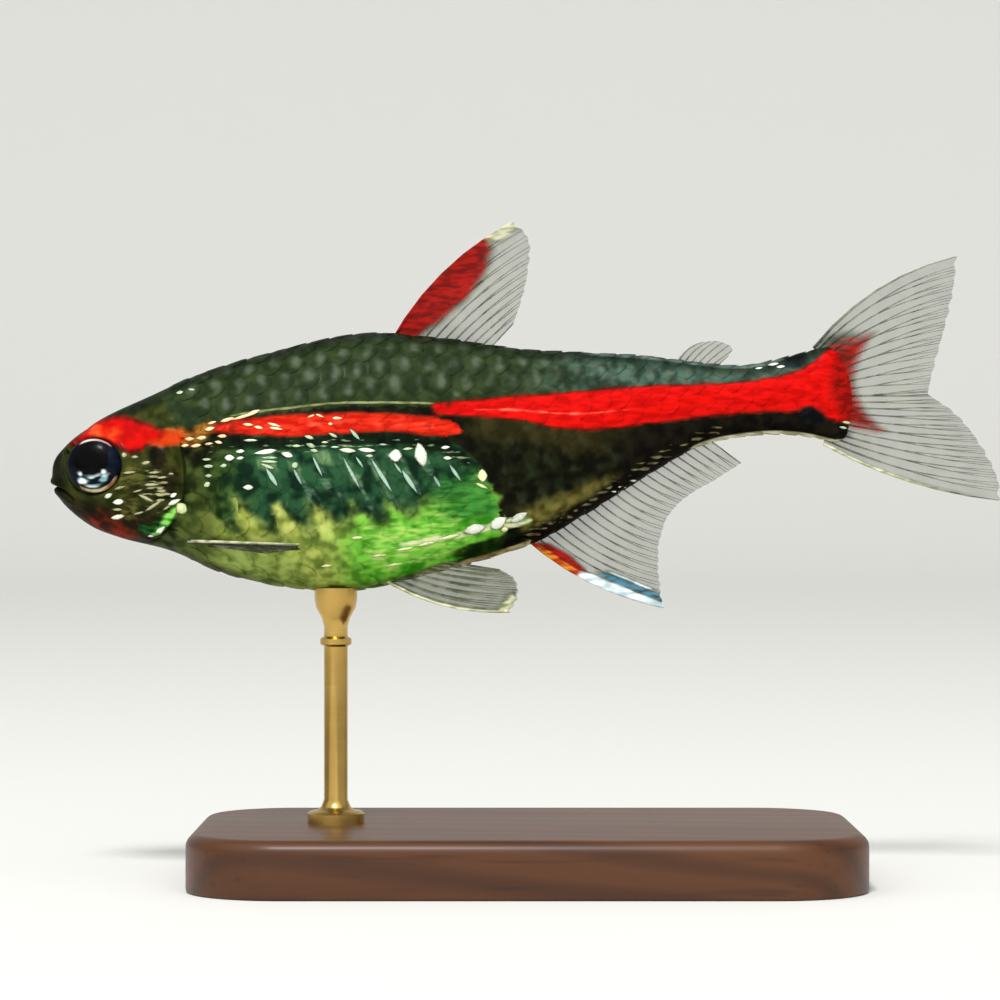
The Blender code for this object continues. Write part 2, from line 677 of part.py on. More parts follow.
def make_stand(stand, grown, pose):
    """A flat wooden base, and a brass rod with a collar and a cup that meets the belly."""
    bm = bmesh.new()
    bmesh.ops.create_cube(bm, size=1.0)
    size = Matrix.Diagonal((BASE_LENGTH, BASE_DEPTH, BASE_HEIGHT, 1.0))
    lift = Matrix.Translation((0.0, 0.0, BASE_HEIGHT / 2))
    bmesh.ops.transform(bm, matrix=lift @ size, verts=bm.verts)
    upright = [e for e in bm.edges if abs(e.verts[0].co.z - e.verts[1].co.z) > BASE_HEIGHT / 2]
    bmesh.ops.bevel(
        bm, geom=upright, offset=BASE_CORNER, segments=BASE_CORNER_STEPS, profile=0.5,
        affect="EDGES", material=-1,
    )
    rim = [e for e in bm.edges if all(v.co.z > BASE_HEIGHT - WELD for v in e.verts)]
    bmesh.ops.bevel(
        bm, geom=rim, offset=BASE_EDGE, segments=BASE_EDGE_STEPS, profile=0.5,
        affect="EDGES", material=-1,
    )
    base = finish_mesh("stand_base", bm, stand)

    foot = BASE_HEIGHT + GAP
    belly_point = pose @ Vector((ROD_STATION, 0.0, float(belly_height(ROD_STATION))))
    top = belly_point.z + ROD_CUP_RISE
    cup = belly_point.z - ROD_CUP_HEIGHT
    profile = [
        (0.0, top), (ROD_CUP_RADIUS, top), (ROD_CUP_RADIUS, cup), (ROD_RADIUS, cup - ROD_CUP_SLOPE),
        (ROD_RADIUS, foot + ROD_COLLAR_HEIGHT + ROD_COLLAR_SLOPE),
        (ROD_COLLAR_RADIUS, foot + ROD_COLLAR_HEIGHT), (ROD_COLLAR_RADIUS, foot), (0.0, foot),
    ]
    mesh = bpy.data.meshes.new("stand_rod")
    points = [(radius * MM, 0.0, height * MM) for radius, height in profile]
    mesh.from_pydata(points, [(i, i + 1) for i in range(len(points) - 1)], [])
    rod = place_object("stand_rod", mesh, stand)
    rod.location = (belly_point.x * MM, 0.0, 0.0)
    screw = rod.modifiers.new("turn", "SCREW")
    screw.steps = ROD_STEPS
    screw.render_steps = ROD_STEPS
    screw.use_merge_vertices = True
    screw.merge_threshold = WELD * MM
    bpy.context.view_layer.update()
    combine(rod, "DIFFERENCE", [grown])
    return base, rod


def main():
    clear_scene()
    fish = new_collection("glowlight_tetra")
    stand = new_collection("stand")
    cutters = new_collection("cutters")
    cutters.hide_render = True

    head, trunk, stalk, eyes, covers = make_body(fish, cutters)
    fins, grown = make_fins(fish, cutters)

    pose = Matrix.Translation((SNOUT_X, 0.0, SNOUT_HEIGHT)) @ Matrix.Rotation(
        -math.radians(PITCH_DEG), 4, "Y"
    )
    holder = bpy.data.objects.new("swimming_pose", None)
    fish.objects.link(holder)
    holder.location = (SNOUT_X * MM, 0.0, SNOUT_HEIGHT * MM)
    holder.rotation_euler = (0.0, -math.radians(PITCH_DEG), 0.0)
    for obj in [head, trunk, stalk, *eyes, *covers, *fins, grown]:
        obj.parent = holder
    bpy.context.view_layer.update()
    base, rod = make_stand(stand, grown, pose)

    finishes = {head: "back_olive", trunk: "flank_green", stalk: "flank_green"}
    finishes.update({obj: "eye_black" for obj in eyes})
    finishes.update({obj: "gill_gold_green" for obj in covers})
    finishes.update({obj: "fin_clear_grey" for obj in fins})
    finishes[fins[0]] = "fin_dark_red"
    finishes.update({base: "stand_wood", rod: "stand_brass"})
    materials = {name: make_material(name) for name in FINISHES}
    for obj, name in finishes.items():
        obj.data.materials.clear()
        obj.data.materials.append(materials[name])
        obj.data.shade_smooth()
        obj.data.set_sharp_from_angle(angle=math.radians(SHARP_DEG))


main()
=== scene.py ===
"""Looks of the glowlight tetra display model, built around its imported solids.

Everything on the fish is shaped in the fish's own frame, in millimetres: s runs from the snout to the
tail, y to the fish's right and h upwards. One matrix then sets it at its nose-down pitch in the world.
"""

import math

import bmesh
import bpy
import numpy as np
from mathutils import Matrix, Vector


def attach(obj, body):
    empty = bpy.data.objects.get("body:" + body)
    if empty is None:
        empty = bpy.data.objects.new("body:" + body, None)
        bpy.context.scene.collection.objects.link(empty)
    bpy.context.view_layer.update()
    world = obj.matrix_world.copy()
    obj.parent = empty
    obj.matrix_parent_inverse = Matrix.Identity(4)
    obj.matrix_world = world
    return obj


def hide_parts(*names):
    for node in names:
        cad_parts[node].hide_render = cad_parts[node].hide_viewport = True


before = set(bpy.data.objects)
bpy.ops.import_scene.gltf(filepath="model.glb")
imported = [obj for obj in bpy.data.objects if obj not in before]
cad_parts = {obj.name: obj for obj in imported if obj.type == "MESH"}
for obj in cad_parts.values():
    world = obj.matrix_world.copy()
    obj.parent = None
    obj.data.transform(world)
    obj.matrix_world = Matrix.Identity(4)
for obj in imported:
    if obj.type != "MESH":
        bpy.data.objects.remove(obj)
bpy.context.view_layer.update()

MM = 0.001

# Pose, as in the solids
PITCH_DEG = 5.9
SNOUT_X = -20.0
SNOUT_HEIGHT = 17.0
BODY_LENGTH = 33.0
FISH_TO_WORLD = (
    Matrix.Scale(MM, 4)
    @ Matrix.Translation((SNOUT_X, 0.0, SNOUT_HEIGHT))
    @ Matrix.Rotation(-math.radians(PITCH_DEG), 4, "Y")
)

# The side outline and the thickness, as (s, h) and (s, half width)
BACK = [
    (0.0, 0.0), (0.15, 0.66), (0.73, 1.32), (2.27, 2.2), (4.46, 2.97), (6.66, 3.68), (10.1, 4.32),
    (13.6, 4.66), (16.9, 4.12), (20.2, 3.33), (25.2, 2.53), (28.2, 1.86), (29.7, 1.66),
    (31.2, 1.82), (33.0, 2.1),
]
BELLY = [
    (0.0, 0.0), (0.02, -0.34), (0.31, -1.09), (1.38, -2.2), (2.59, -2.84), (4.64, -3.6),
    (6.63, -4.7), (9.1, -5.56), (12.2, -6.05), (15.9, -5.6), (19.7, -4.9), (22.0, -3.95),
    (24.7, -2.62), (27.3, -1.5), (29.6, -1.27), (31.5, -1.47), (33.0, -1.95),
]
HALF_WIDTH = [
    (0.0, 0.0), (0.25, 0.62), (0.9, 1.12), (1.9, 1.56), (3.3, 1.94), (5.3, 2.3), (8.0, 2.6),
    (11.0, 2.7), (14.0, 2.6), (17.0, 2.32), (20.0, 1.95), (24.0, 1.45), (28.0, 1.02), (31.0, 0.76),
    (33.0, 0.58),
]
WIDEST_SHARE = 0.54
UPPER_FULLNESS = 2.1
LOWER_FULLNESS = 1.9

# Points closer than this, in metres, are one
WELD = 1e-6

# Skin: faces round it and along it, the weight and power of each part of its rings' spacing, and the
# wedge that it ends in between the tail fin's lobes
SKIN_SIDES = 216
SKIN_RINGS = 410
RING_SPACING = ((0.3, 1.4), (0.7, 2))
WEDGE_RINGS = 18
WEDGE_LENGTH = 0.9
WEDGE_TAPER = 1.15

# Head
EYE_CENTRE = (1.95, 0.25)
EYE_RADIUS = 1.21
EYE_DEPTH = 0.62
EYE_SINK = 0.3
EYE_FORWARD_DEG = 12.0
EYE_UPWARD = 0.04
EYE_SIDES = 96
MOUTH_FRONT = (-0.05, -0.36)
MOUTH_CORNER = (0.9, -1.05)
MOUTH_BOW = 0.07
NOSTRILS = [(0.86, 0.93, 0.1), (1.08, 1.14, 0.13)]
GILL_EDGE_CENTRE = (0.33, -0.12)
GILL_EDGE_RADIUS = 5.5
GILL_CORNER = (5.68, -1.84)
GILL_FOOT = -3.12
GILL_ROUNDING = 0.14
GILL_SOFTNESS = 0.04
GILL_COVER_CENTRE = (4.35, -1.0)
GILL_COVER_HALF = (1.15, 1.9)
CHEEK_RIDGE_CENTRE = (1.75, 0.1)
CHEEK_RIDGE_RADIUS = 1.95
HEAD_FORMS_END = (7.5, 6.5)

# Ridges and, where the height is negative, grooves of the head: how far beyond an edge, width, height;
# for the gill cover the first two are shares of its half size
EYE_RIM = (0.12, 0.1, 0.07)
EYE_GROOVE = (0.42, 0.14, -0.04)
UPPER_LIP = (0.18, 0.12, 0.1)
LOWER_LIP = (-0.18, 0.15, 0.07)
MOUTH_SLIT = (0.0, 0.05, -0.22)
JAW_BONE = (-0.05, 0.16, 0.05)
NOSTRIL_RIM = (0.05, 0.05, 0.05)
CHEEK_RIDGE = (0.0, 0.1, 0.045)
CHEEK_GROOVE = (0.2, 0.09, -0.05)
COVER_GROOVE = (0.08, 0.06, -0.05)
SOCKET_DEPTH = 0.6
NOSTRIL_DEPTH = 0.2
COVER_HEIGHT = 0.06
GILL_EDGE_HEIGHT = 0.09
GILL_SLIT_DEPTH = 0.14
GILL_SLIT_REACH = 0.3

# Scales: first and last station, their spacing, form and lie on the skin
FIRST_SCALE = 5.0
SCALES_END = 33.2
SCALE_ROWS = 10
SCALE_STEP = 1.0
ROW_STEP = 0.86
SCALE_LENGTH = 1.44
SCALE_WIDTH = 1.2
SCALE_THICKNESS = 0.026
SCALE_TILT = 0.026
SCALE_LIFT = 0.018
SCALE_TAPER = 0.12
SCALE_DIP = 0.12
SCALE_DIP_START = -0.15
SCALE_SHRINK = 0.3
SCALE_SHRINK_FROM = 15
SCALES_BEHIND_GILL = 0.3
SCALES_BEFORE_WEDGE_END = 0.45
SCALE_SIDES = 14

# How far the scales differ from each other, as shares of their size and tilt and in millimetres
SIZE_SPREAD = 0.04
TILT_SPREAD = 0.3
ROLL_SPREAD = 0.008

# A scale's pale spot and dark rim, in half lengths and half widths of the scale; the rim is painted
# shade along every scale's edge, stronger on the back where it is also the dark net
SPOT_CENTRE = 0.44
SPOT_HALF = (0.42, 0.9)
RIM_START = 0.72

# The skin laid flat: how many stations and distances round it are kept, and the longest distance
FLAT_STATIONS = 291
FLAT_ARCS = 361
LONGEST_ARC = 9.0

# Bake map: each scale's own patch, and where the patches lie
BAKE_PATCH = 0.003
BAKE_MARGIN = 0.03
BAKE_HEIGHT = 40

# Fins: rays, times each ray forks, bow in the fin's surface and swing of its margin
FIN_MAKE = {
    "dorsal_fin": (11, 1, 0.55, 0.18),
    "adipose_fin": (7, 0, 0.25, 0.0),
    "anal_fin": (24, 1, -0.45, -0.15),
    "tail_fin_upper_lobe": (11, 2, 0.62, 0.3),
    "tail_fin_lower_lobe": (11, 2, -0.4, 0.3),
    "pelvic_fin": (8, 1, -0.5, 0.0),
    "pectoral_fin": (12, 1, 0.0, 0.0),
}
BOW_CROWDING = 1.5
SWING_START = 0.25
SWING_TURNS = 1.5
EDGE_SAMPLES = 200

# Fin roots, as stations along the back or the belly, or as (s, h)
DORSAL_ROOT = (14.75, 16.6, 18.6)
ADIPOSE_ROOT = (26.6, 27.2, 27.9)
ANAL_ROOT = (19.5, 21.6, 23.6, 25.5, 27.4)
TAIL_CORNER = 32.95
UPPER_LOBE_ROOT = (33.15, 1.0)
LOWER_LOBE_ROOT = (33.15, -1.1)
SPLIT_START = 33.2
FORK = (37.1, -0.3)
FORK_GAP = 0.02
PELVIC_ROOT = [(13.0, -5.8), (13.9, -5.6), (14.8, -5.35)]
PECTORAL_ROOT = [(5.45, -3.26), (5.75, -3.38), (6.1, -3.5)]
SHOULDER = (5.6, -3.3)
ROOT_SINK = 0.45
PECTORAL_SINK = 0.1

# Free margins from the front ray to the last, as (s, h) or (s, y, h)
DORSAL_MARGIN = [(20.45, 8.75), (21.05, 8.0), (20.9, 6.7), (20.5, 5.5), (20.0, 4.4)]
ADIPOSE_MARGIN = [(27.9, 2.85), (28.6, 2.8), (29.1, 2.45), (28.9, 2.15)]
ANAL_MARGIN = [
    (25.1, -8.15), (25.05, -6.7), (25.2, -5.4), (25.7, -4.3), (26.6, -3.55), (27.7, -3.05), (29.0, -2.4),
]
UPPER_LOBE_MARGIN = [(38.95, 5.35), (38.75, 4.2), (38.2, 2.6), (37.5, 0.9)]
LOWER_LOBE_MARGIN = [(39.7, -5.1), (39.75, -4.2), (39.1, -2.6), (38.2, -1.3)]
PELVIC_MARGIN = [(18.6, 2.3, -7.6), (19.0, 2.1, -7.0), (19.0, 1.7, -6.35), (18.4, 1.3, -5.85)]
PECTORAL_MARGIN = [(10.3, 4.2, -3.86), (10.2, 3.6, -3.98), (9.7, 2.9, -4.08), (8.9, 2.3, -4.14)]

# Fin film: its cells from ray to ray and from root to margin, depth of the notches between its rays,
# depth and turn of its margin's slow wave, thickness and solidity
FILM_CELLS = (6, 28)
NOTCH_DEPTH = 0.012
MARGIN_WAVE = (0.008, 23)
FILM_THICKNESS = 0.07
FILM_SOLIDITY = 0.2
COLOURED_SOLIDITY = 0.95

# Fin rays: what they add to the film's solidity, each kind's radius at its start and its end, how far
# branches spread as shares of the step between rays, and the cells of their tubes
RAY_SOLIDITY = 0.3
LEADING_RAY = (0.08, 0.02)
PLAIN_RAY = (0.05, 0.02)
RAY_STEM = (0.05, 0.036)
LONG_BRANCH = (0.034, 0.014)
SHORT_BRANCH = (0.034, 0.024)
TWIG = (0.021, 0.012)
BRANCH_SPREAD = 0.2
TWIG_SPREAD = 0.12
RAY_SIDES = 6
RAY_CUTS = 5

# Bands along the flank, as (s, h)
FRONT_STRIPE_TOP = [
    (6.6, 1.38), (7.5, 1.54), (9.0, 1.56), (12.8, 1.33), (14.9, 1.06), (16.5, 0.76), (17.5, 0.44),
]
FRONT_STRIPE_BOTTOM = [
    (6.6, 1.12), (7.5, 0.98), (10.6, 0.6), (12.3, 0.55), (14.8, 0.34), (16.1, 0.06), (17.5, -0.18),
]
REAR_STRIPE_TOP = [
    (16.0, 1.36), (20.0, 1.3), (25.5, 1.17), (28.5, 0.98), (30.1, 0.97), (31.8, 1.22),
    (32.4, 1.52), (33.2, 1.98), (34.7, 2.35),
]
REAR_STRIPE_BOTTOM = [
    (16.0, 1.02), (17.0, 0.84), (19.9, 0.33), (21.5, -0.17), (23.2, -0.36), (27.5, -0.29),
    (30.0, -0.34), (31.4, -0.44), (32.0, -0.3), (32.6, -0.8), (34.7, -1.55),
]
GOLD_LINE = [(5.9, 1.45), (8.2, 1.75), (10.4, 1.8), (12.3, 1.8), (14.1, 1.64), (16.6, 1.36)]
CAVITY_TOP = [
    (5.2, 0.95), (8.5, 0.8), (10.6, 0.64), (12.3, 0.58), (14.8, 0.38), (16.1, 0.06), (17.0, -0.4),
    (17.9, -1.2), (18.4, -2.4), (18.6, -4.4),
]
LOW_TOP = [
    (5.4, -2.4), (7.0, -3.0), (9.6, -3.35), (12.4, -3.4), (14.3, -3.5), (16.0, -2.9), (18.6, -1.9),
]
REAR_GLEAM = [(13.4, -4.4), (15.6, -4.28), (17.6, -4.03), (19.6, -3.86), (20.2, -3.8)]

# How far back a fin's colour reaches, as distances out from the root and places behind the front ray
DORSAL_RED = ([0.0, 0.2, 0.45, 0.65, 0.8, 0.86], [0.2, 0.32, 0.36, 0.28, 0.12, 0.0])
ANAL_RED = ([0.05, 0.14, 0.3, 0.44, 0.52], [0.0, 0.055, 0.075, 0.05, 0.0])
ANAL_WHITE = ([0.36, 0.5, 0.75, 1.0], [0.02, 0.045, 0.05, 0.03])

# Where bands start and end, the curve that ends the tail's red, as (s, bend, h), and where the back's
# lower edge passes from the gold line to the rear stripe's top
FRONT_STRIPE_ENDS = (6.95, 17.42)
REAR_STRIPE_START = 16.3
TAIL_RED_START = 30.0
TAIL_RED_END = (33.94, 0.25, 0.4)
CAVITY_ENDS = (5.0, 18.6)
BACK_EDGE_STEP = 16.6

# Closed outlines of single patches, as (s, h)
RED_CAP = [
    (0.95, 1.22), (1.87, 2.0), (2.7, 2.2), (3.2, 2.2), (3.83, 2.02), (4.5, 1.66), (5.0, 1.38),
    (5.1, 1.08), (4.75, 1.0), (4.35, 0.9), (4.0, 0.68), (3.6, 0.64), (3.1, 0.9), (2.54, 1.2),
    (1.96, 1.38), (1.36, 1.3),
]
CHIN_RED = [
    (1.35, -1.78), (1.8, -1.72), (2.3, -1.98), (2.85, -2.4), (3.15, -2.9), (2.6, -3.05), (1.8, -2.6),
]
GILL_GREEN = [
    (5.6, -1.75), (5.66, -2.05), (5.2, -2.25), (4.95, -2.6), (4.5, -2.88), (3.9, -2.85),
    (3.5, -2.66), (3.6, -2.42), (4.1, -2.4), (4.45, -2.3), (4.75, -2.05), (5.1, -1.85),
]

# Bright plates in the skin: guanine, which also stands for painted highlights where light glints,
# as (s, h, half length, half height, tilt in degrees)
HEAD_SILVER = [
    (2.44, -1.05, 0.2, 0.09, 19), (2.81, -1.35, 0.26, 0.11, 0), (2.7, -1.97, 0.32, 0.09, 4),
    (5.2, -1.31, 0.17, 0.08, 20), (5.2, -1.6, 0.32, 0.09, 18), (4.4, -2.74, 0.31, 0.1, 34),
    (4.05, -2.88, 0.22, 0.06, 8),
]
HEAD_OLIVE = [
    (3.31, 0.57, 0.13, 0.1, -6), (3.73, 0.44, 0.18, 0.06, -6), (4.19, 0.15, 0.2, 0.07, 4),
    (3.45, -0.18, 0.33, 0.045, -1), (4.5, -0.29, 0.27, 0.045, -2), (5.2, -0.42, 0.13, 0.04, -6),
    (4.79, -0.53, 0.23, 0.04, 0), (4.32, -0.78, 0.36, 0.055, -4), (4.7, -1.09, 0.22, 0.06, -6),
    (4.01, -1.31, 0.38, 0.06, -31), (4.3, -1.66, 0.46, 0.06, 26), (2.95, -0.77, 0.25, 0.05, 10),
    (2.73, -1.66, 0.22, 0.05, -6), (3.7, -0.98, 0.22, 0.035, 10), (3.62, -1.9, 0.26, 0.035, 8),
    (4.85, -1.8, 0.2, 0.04, 24),
]
SILVER_FLECKS = [
    (7.7, -0.01, 0.22, 0.12, -6), (8.13, -0.07, 0.18, 0.06, 2), (8.16, 0.21, 0.2, 0.07, -1),
    (8.33, -1.31, 0.23, 0.1, -6), (9.2, 0.08, 0.52, 0.09, 2), (10.09, -0.13, 0.27, 0.1, -21),
    (12.6, -0.21, 0.38, 0.09, -11), (13.4, -0.28, 0.4, 0.08, -11), (14.54, -0.63, 0.3, 0.24, -6),
    (15.6, -0.72, 0.28, 0.46, 8), (16.65, -0.5, 0.2, 0.06, 0), (16.7, -0.95, 0.2, 0.07, -8),
    (17.5, -4.02, 0.5, 0.19, 8), (18.52, -3.86, 0.42, 0.22, 28), (19.4, -3.72, 0.42, 0.16, 24),
    (30.7, 1.6, 0.26, 0.05, 4), (31.0, 1.46, 0.2, 0.05, 0), (30.1, 1.5, 0.2, 0.04, 4),
    (23.54, -3.06, 0.18, 0.04, -10), (23.86, -2.9, 0.2, 0.04, -8), (24.36, -2.68, 0.18, 0.04, -8),
]
MINT_FLECKS = [
    (6.79, -0.27, 0.22, 0.07, -6), (6.75, -0.66, 0.16, 0.07, -6), (6.64, -1.02, 0.16, 0.1, 24),
    (7.41, -0.31, 0.16, 0.07, 4), (6.74, 0.02, 0.22, 0.05, -6), (8.65, 0.62, 0.33, 0.05, -6),
    (9.34, -0.18, 0.4, 0.05, -6), (9.32, -0.34, 0.4, 0.05, -8), (9.22, -0.52, 0.34, 0.06, -26),
    (10.53, 0.19, 0.22, 0.05, -6), (11.07, 0.5, 0.22, 0.07, -21), (11.11, 0.15, 0.22, 0.09, -26),
    (11.23, -0.08, 0.18, 0.07, -16), (10.37, -0.6, 0.16, 0.12, 34), (13.48, -0.53, 0.18, 0.06, -6),
    (12.07, 0.48, 0.22, 0.06, -31), (5.81, 2.95, 0.17, 0.07, 4), (6.32, 3.02, 0.17, 0.05, -10),
    (15.1, -0.4, 0.24, 0.05, 0), (33.5, -1.16, 0.2, 0.05, -14), (33.35, -1.36, 0.18, 0.05, -18),
    (12.1, -0.02, 0.2, 0.04, -6), (11.7, 0.22, 0.16, 0.04, -6), (14.1, -0.12, 0.2, 0.04, -8),
]
GOLD_FLECKS = [
    (8.42, 1.64, 0.6, 0.06, 10), (8.86, 1.76, 0.34, 0.08, 16), (7.76, 1.58, 0.34, 0.07, 10),
    (6.99, 1.28, 0.24, 0.08, 6), (6.6, 0.94, 0.24, 0.08, 0), (6.1, 0.95, 0.22, 0.08, -6),
    (5.9, 0.69, 0.18, 0.06, 0), (6.34, 0.64, 0.25, 0.07, 2), (7.3, 0.68, 0.18, 0.06, -16),
    (7.47, 0.92, 0.22, 0.07, -6), (8.6, 1.28, 0.25, 0.06, -11), (9.02, 1.12, 0.22, 0.06, -16),
    (9.68, 1.16, 0.33, 0.05, -21), (9.74, 1.0, 0.33, 0.05, -14), (11.24, 1.36, 0.18, 0.04, 14),
    (11.61, 1.34, 0.22, 0.04, -26), (12.32, 1.16, 0.25, 0.06, -6), (12.0, 0.96, 0.11, 0.05, -6),
    (6.9, 0.66, 0.2, 0.05, 0), (7.1, 1.52, 0.22, 0.05, 10),
]
YELLOW_FLECKS = [
    (15.4, -4.42, 0.5, 0.06, 6), (14.5, -4.54, 0.45, 0.05, 2), (16.4, -4.24, 0.5, 0.07, 8),
    (13.4, -4.7, 0.4, 0.05, 0), (18.75, -4.16, 0.16, 0.1, 0), (14.0, -5.15, 0.4, 0.05, 4),
    (12.6, -3.86, 0.3, 0.05, 0), (18.05, -1.83, 0.22, 0.25, 0), (17.98, -2.24, 0.3, 0.06, -30),
    (11.2, -4.9, 0.26, 0.05, 0), (5.46, -1.9, 0.26, 0.24, 38),
]
RIB_LINES = [
    (12.67, -1.17, 0.82, 0.07, -68), (13.9, -1.4, 0.9, 0.08, -64), (15.03, -1.77, 0.62, 0.09, -62),
    (16.16, -1.89, 0.31, 0.07, -66), (16.95, -1.61, 0.45, 0.07, -61), (9.36, -1.0, 0.5, 0.09, -64),
    (10.44, -1.1, 0.4, 0.06, -68), (12.97, 0.42, 0.33, 0.07, -54), (11.3, -0.75, 0.5, 0.05, -70),
    (13.05, -0.75, 0.3, 0.05, -62), (14.6, -1.15, 0.3, 0.05, -60),
]
FLECK_THICKNESS = 0.035
FLECK_WIDENING = 1.15
FLECK_SIDES = 12
FLECK_LIFT = 0.058
HEAD_FLECK_LIFT = 0.025
GILL_BRIDGE_LIFT = 0.03
GILL_BRIDGE_REACH = 0.3

# Soft light under groups of plates, laid out like them
PLATE_GLOW = [
    (9.22, -0.4, 0.62, 0.42, -62), (10.43, -0.78, 0.5, 0.28, -64), (11.6, -0.4, 0.6, 0.45, -40),
    (12.72, -1.2, 0.95, 0.26, -68), (13.86, -1.46, 0.95, 0.27, -64), (15.05, -1.7, 0.7, 0.25, -62),
]

# Soft patches of colour, laid out like the plates; those of the head end at the gill opening's edge
HEAD_PATCHES = {
    "cheek_brown": [(4.75, 0.35, 0.55, 0.9, 0), (5.0, -0.7, 0.8, 0.9, -10)],
    "gill_plate": [(4.3, -1.2, 1.6, 1.8, 0)],
    "gill_lines": [(4.6, -1.0, 1.0, 1.2, 0)],
    "fleck_glow": [(s, h, 1.7 * half, 2.2 * height, tilt) for s, h, half, height, tilt in HEAD_OLIVE],
    "cheek_gold": [(3.6, -0.5, 0.8, 0.75, 0), (3.3, -1.6, 0.6, 0.7, 0)],
    "cheek_dark": [(4.7, 0.4, 0.42, 0.62, 0)],
    "green_glow": [(5.05, -2.12, 0.85, 0.26, 36), (4.4, -2.72, 0.5, 0.14, 24)],
}
OPEN_PATCHES = {
    "orange_nape": [(5.5, 1.08, 1.5, 0.52, -8), (6.8, 1.25, 0.7, 0.42, 12)],
    "nape_red": [(5.0, 1.12, 1.1, 0.44, -8)],
    "cap_glow": [(2.5, 1.62, 1.1, 0.42, -14)],
    "tail_spots": [(32.1, -0.75, 0.7, 0.5, -14), (31.7, 1.66, 0.7, 0.42, 14)],
}
HUMERAL_SPOT = [(6.5, 0.2, 1.3, 0.66, -6)]
TAIL_DUSK = [(33.5, 2.3, 1.1, 0.42, 12), (33.2, -1.55, 0.6, 0.3, -20)]

# Middles of the pupil and of the gleam, from the eye's middle, and the pupil's soft edge
PUPIL_MIDDLE = (-0.06, 0.3)
PUPIL_EDGE = (0.78, 0.68)
GLEAM_MIDDLE = (-0.08, 0.25)

# Gleam round the foot of the pupil: angle from straight down and its spread in degrees, distance from
# the gleam's middle and its spread, strength
IRIS_GLEAM = [
    (-29, 11, 0.95, 0.12, 1.3), (29, 11, 0.95, 0.12, 1.3), (-43, 7, 0.74, 0.09, 1.0),
    (43, 7, 0.72, 0.09, 1.0), (0, 26, 0.71, 0.06, 0.85), (-3, 18, 1.08, 0.07, 1.0),
]

# Stand: the rod's turned outline as (radius, height) over the base and under the belly
BASE_SIZE = (28.0, 17.0, 2.4)
BASE_CORNER = 4.0
BASE_EDGE = 0.55
BASE_FOOT_EDGE = 0.15
ROD_STATION = 11.4
ROD_FOOT = [
    (0.0, 0.0), (1.2, 0.0), (1.2, 0.42), (1.08, 0.52), (0.78, 0.56), (0.62, 0.7), (0.5, 1.0),
]
ROD_HEAD = [
    (0.5, -2.35), (0.66, -2.25), (0.66, -2.02), (0.5, -1.92), (0.5, -1.5), (0.6, -1.15),
    (0.84, -0.7), (0.9, -0.35), (0.9, 0.12), (0.82, 0.16), (0.6, 0.03), (0.3, -0.05), (0.0, -0.07),
]
ROD_SIDES = 64

# Real sizes of what shows in the wood, the metal and the plates, in millimetres
GROWTH_DRIFT = 6.25
GROWTH_RING = 3.846
OPEN_PORE = 0.2381
LATHE_RING = 0.1111
TARNISH_PATCH = 1.4286
CRYSTAL_PATCH = 0.14286

# Camera and its paper backdrop, with its bend, in metres
CAMERA_LENS = 135.0
CAMERA_SENSOR = 36.0
CAMERA_DISTANCE = 0.1582
CAMERA_AIM = (-0.00112, 0.01603)
PAPER_REACH = 0.9
PAPER_BEND = 0.3

# Lamps: kind, place and energy, with the angle of a sun in degrees or the width of an area in metres
LAMPS = {
    "key": ("AREA", (-0.06, -0.3, 0.42), 1.9, 0.09),
    "daylight": ("SUN", (-0.3, -0.6, 0.8), 1.2, 100.0),
    "side_fill": ("SUN", (0.8, -0.7, 0.35), 0.4, 100.0),
}
LAMPS_AIM = (0.0, 0.0, 0.015)


# Outlines

def smooth_curve(points, per_span=20):
    """Points along a centripetal Catmull-Rom curve through these points."""
    known = np.array(points, float)
    known = np.vstack([2 * known[0] - known[1], known, 2 * known[-1] - known[-2]])
    shares = np.linspace(0.0, 1.0, per_span, endpoint=False)[:, None]
    made = []
    for before, start, end, after in zip(known, known[1:], known[2:], known[3:]):
        times = [0.0]
        for a, b in ((before, start), (start, end), (end, after)):
            times.append(times[-1] + max(np.linalg.norm(b - a), 1e-9) ** 0.5)
        t0, t1, t2, t3 = times
        t = t1 + (t2 - t1) * shares
        a1 = (t1 - t) / (t1 - t0) * before + (t - t0) / (t1 - t0) * start
        a2 = (t2 - t) / (t2 - t1) * start + (t - t1) / (t2 - t1) * end
        a3 = (t3 - t) / (t3 - t2) * end + (t - t2) / (t3 - t2) * after
        b1 = (t2 - t) / (t2 - t0) * a1 + (t - t0) / (t2 - t0) * a2
        b2 = (t3 - t) / (t3 - t1) * a2 + (t - t1) / (t3 - t1) * a3
        made.append((t2 - t) / (t2 - t1) * b1 + (t - t1) / (t2 - t1) * b2)
    made.append(known[-2:-1])
    return np.vstack(made)


def height_reader(points):
    """A smooth curve through points, read as the height at a station."""
    curve = smooth_curve(points)
    stations = np.maximum.accumulate(curve[:, 0])
    return lambda s: np.interp(s, stations, curve[:, 1])


def split_at_tip(curve):
    """The two branches of a curve that turns round at its least s, as functions of s."""
    tip = int(np.argmin(curve[:, 0]))
    branches = []
    for branch in (curve[tip::-1], curve[tip:]):
        branches.append((np.maximum.accumulate(branch[:, 0]), branch[:, 1]))
    (low_s, low), (high_s, high) = branches
    return lambda s: np.interp(s, low_s, low), lambda s: np.interp(s, high_s, high)


def resample(points, count):
    """Points spaced evenly by length along a smooth curve."""
    dense = smooth_curve(points)
    lengths = np.concatenate([[0.0], np.cumsum(np.linalg.norm(np.diff(dense, axis=0), axis=1))])
    wanted = np.linspace(0.0, lengths[-1], count)
    return np.stack([np.interp(wanted, lengths, dense[:, i]) for i in range(dense.shape[1])], 1)


def rise(value, low, high):
    """A smooth step from 0 at low to 1 at high."""
    share = np.clip((value - low) / (high - low), 0.0, 1.0)
    return share * share * (3 - 2 * share)


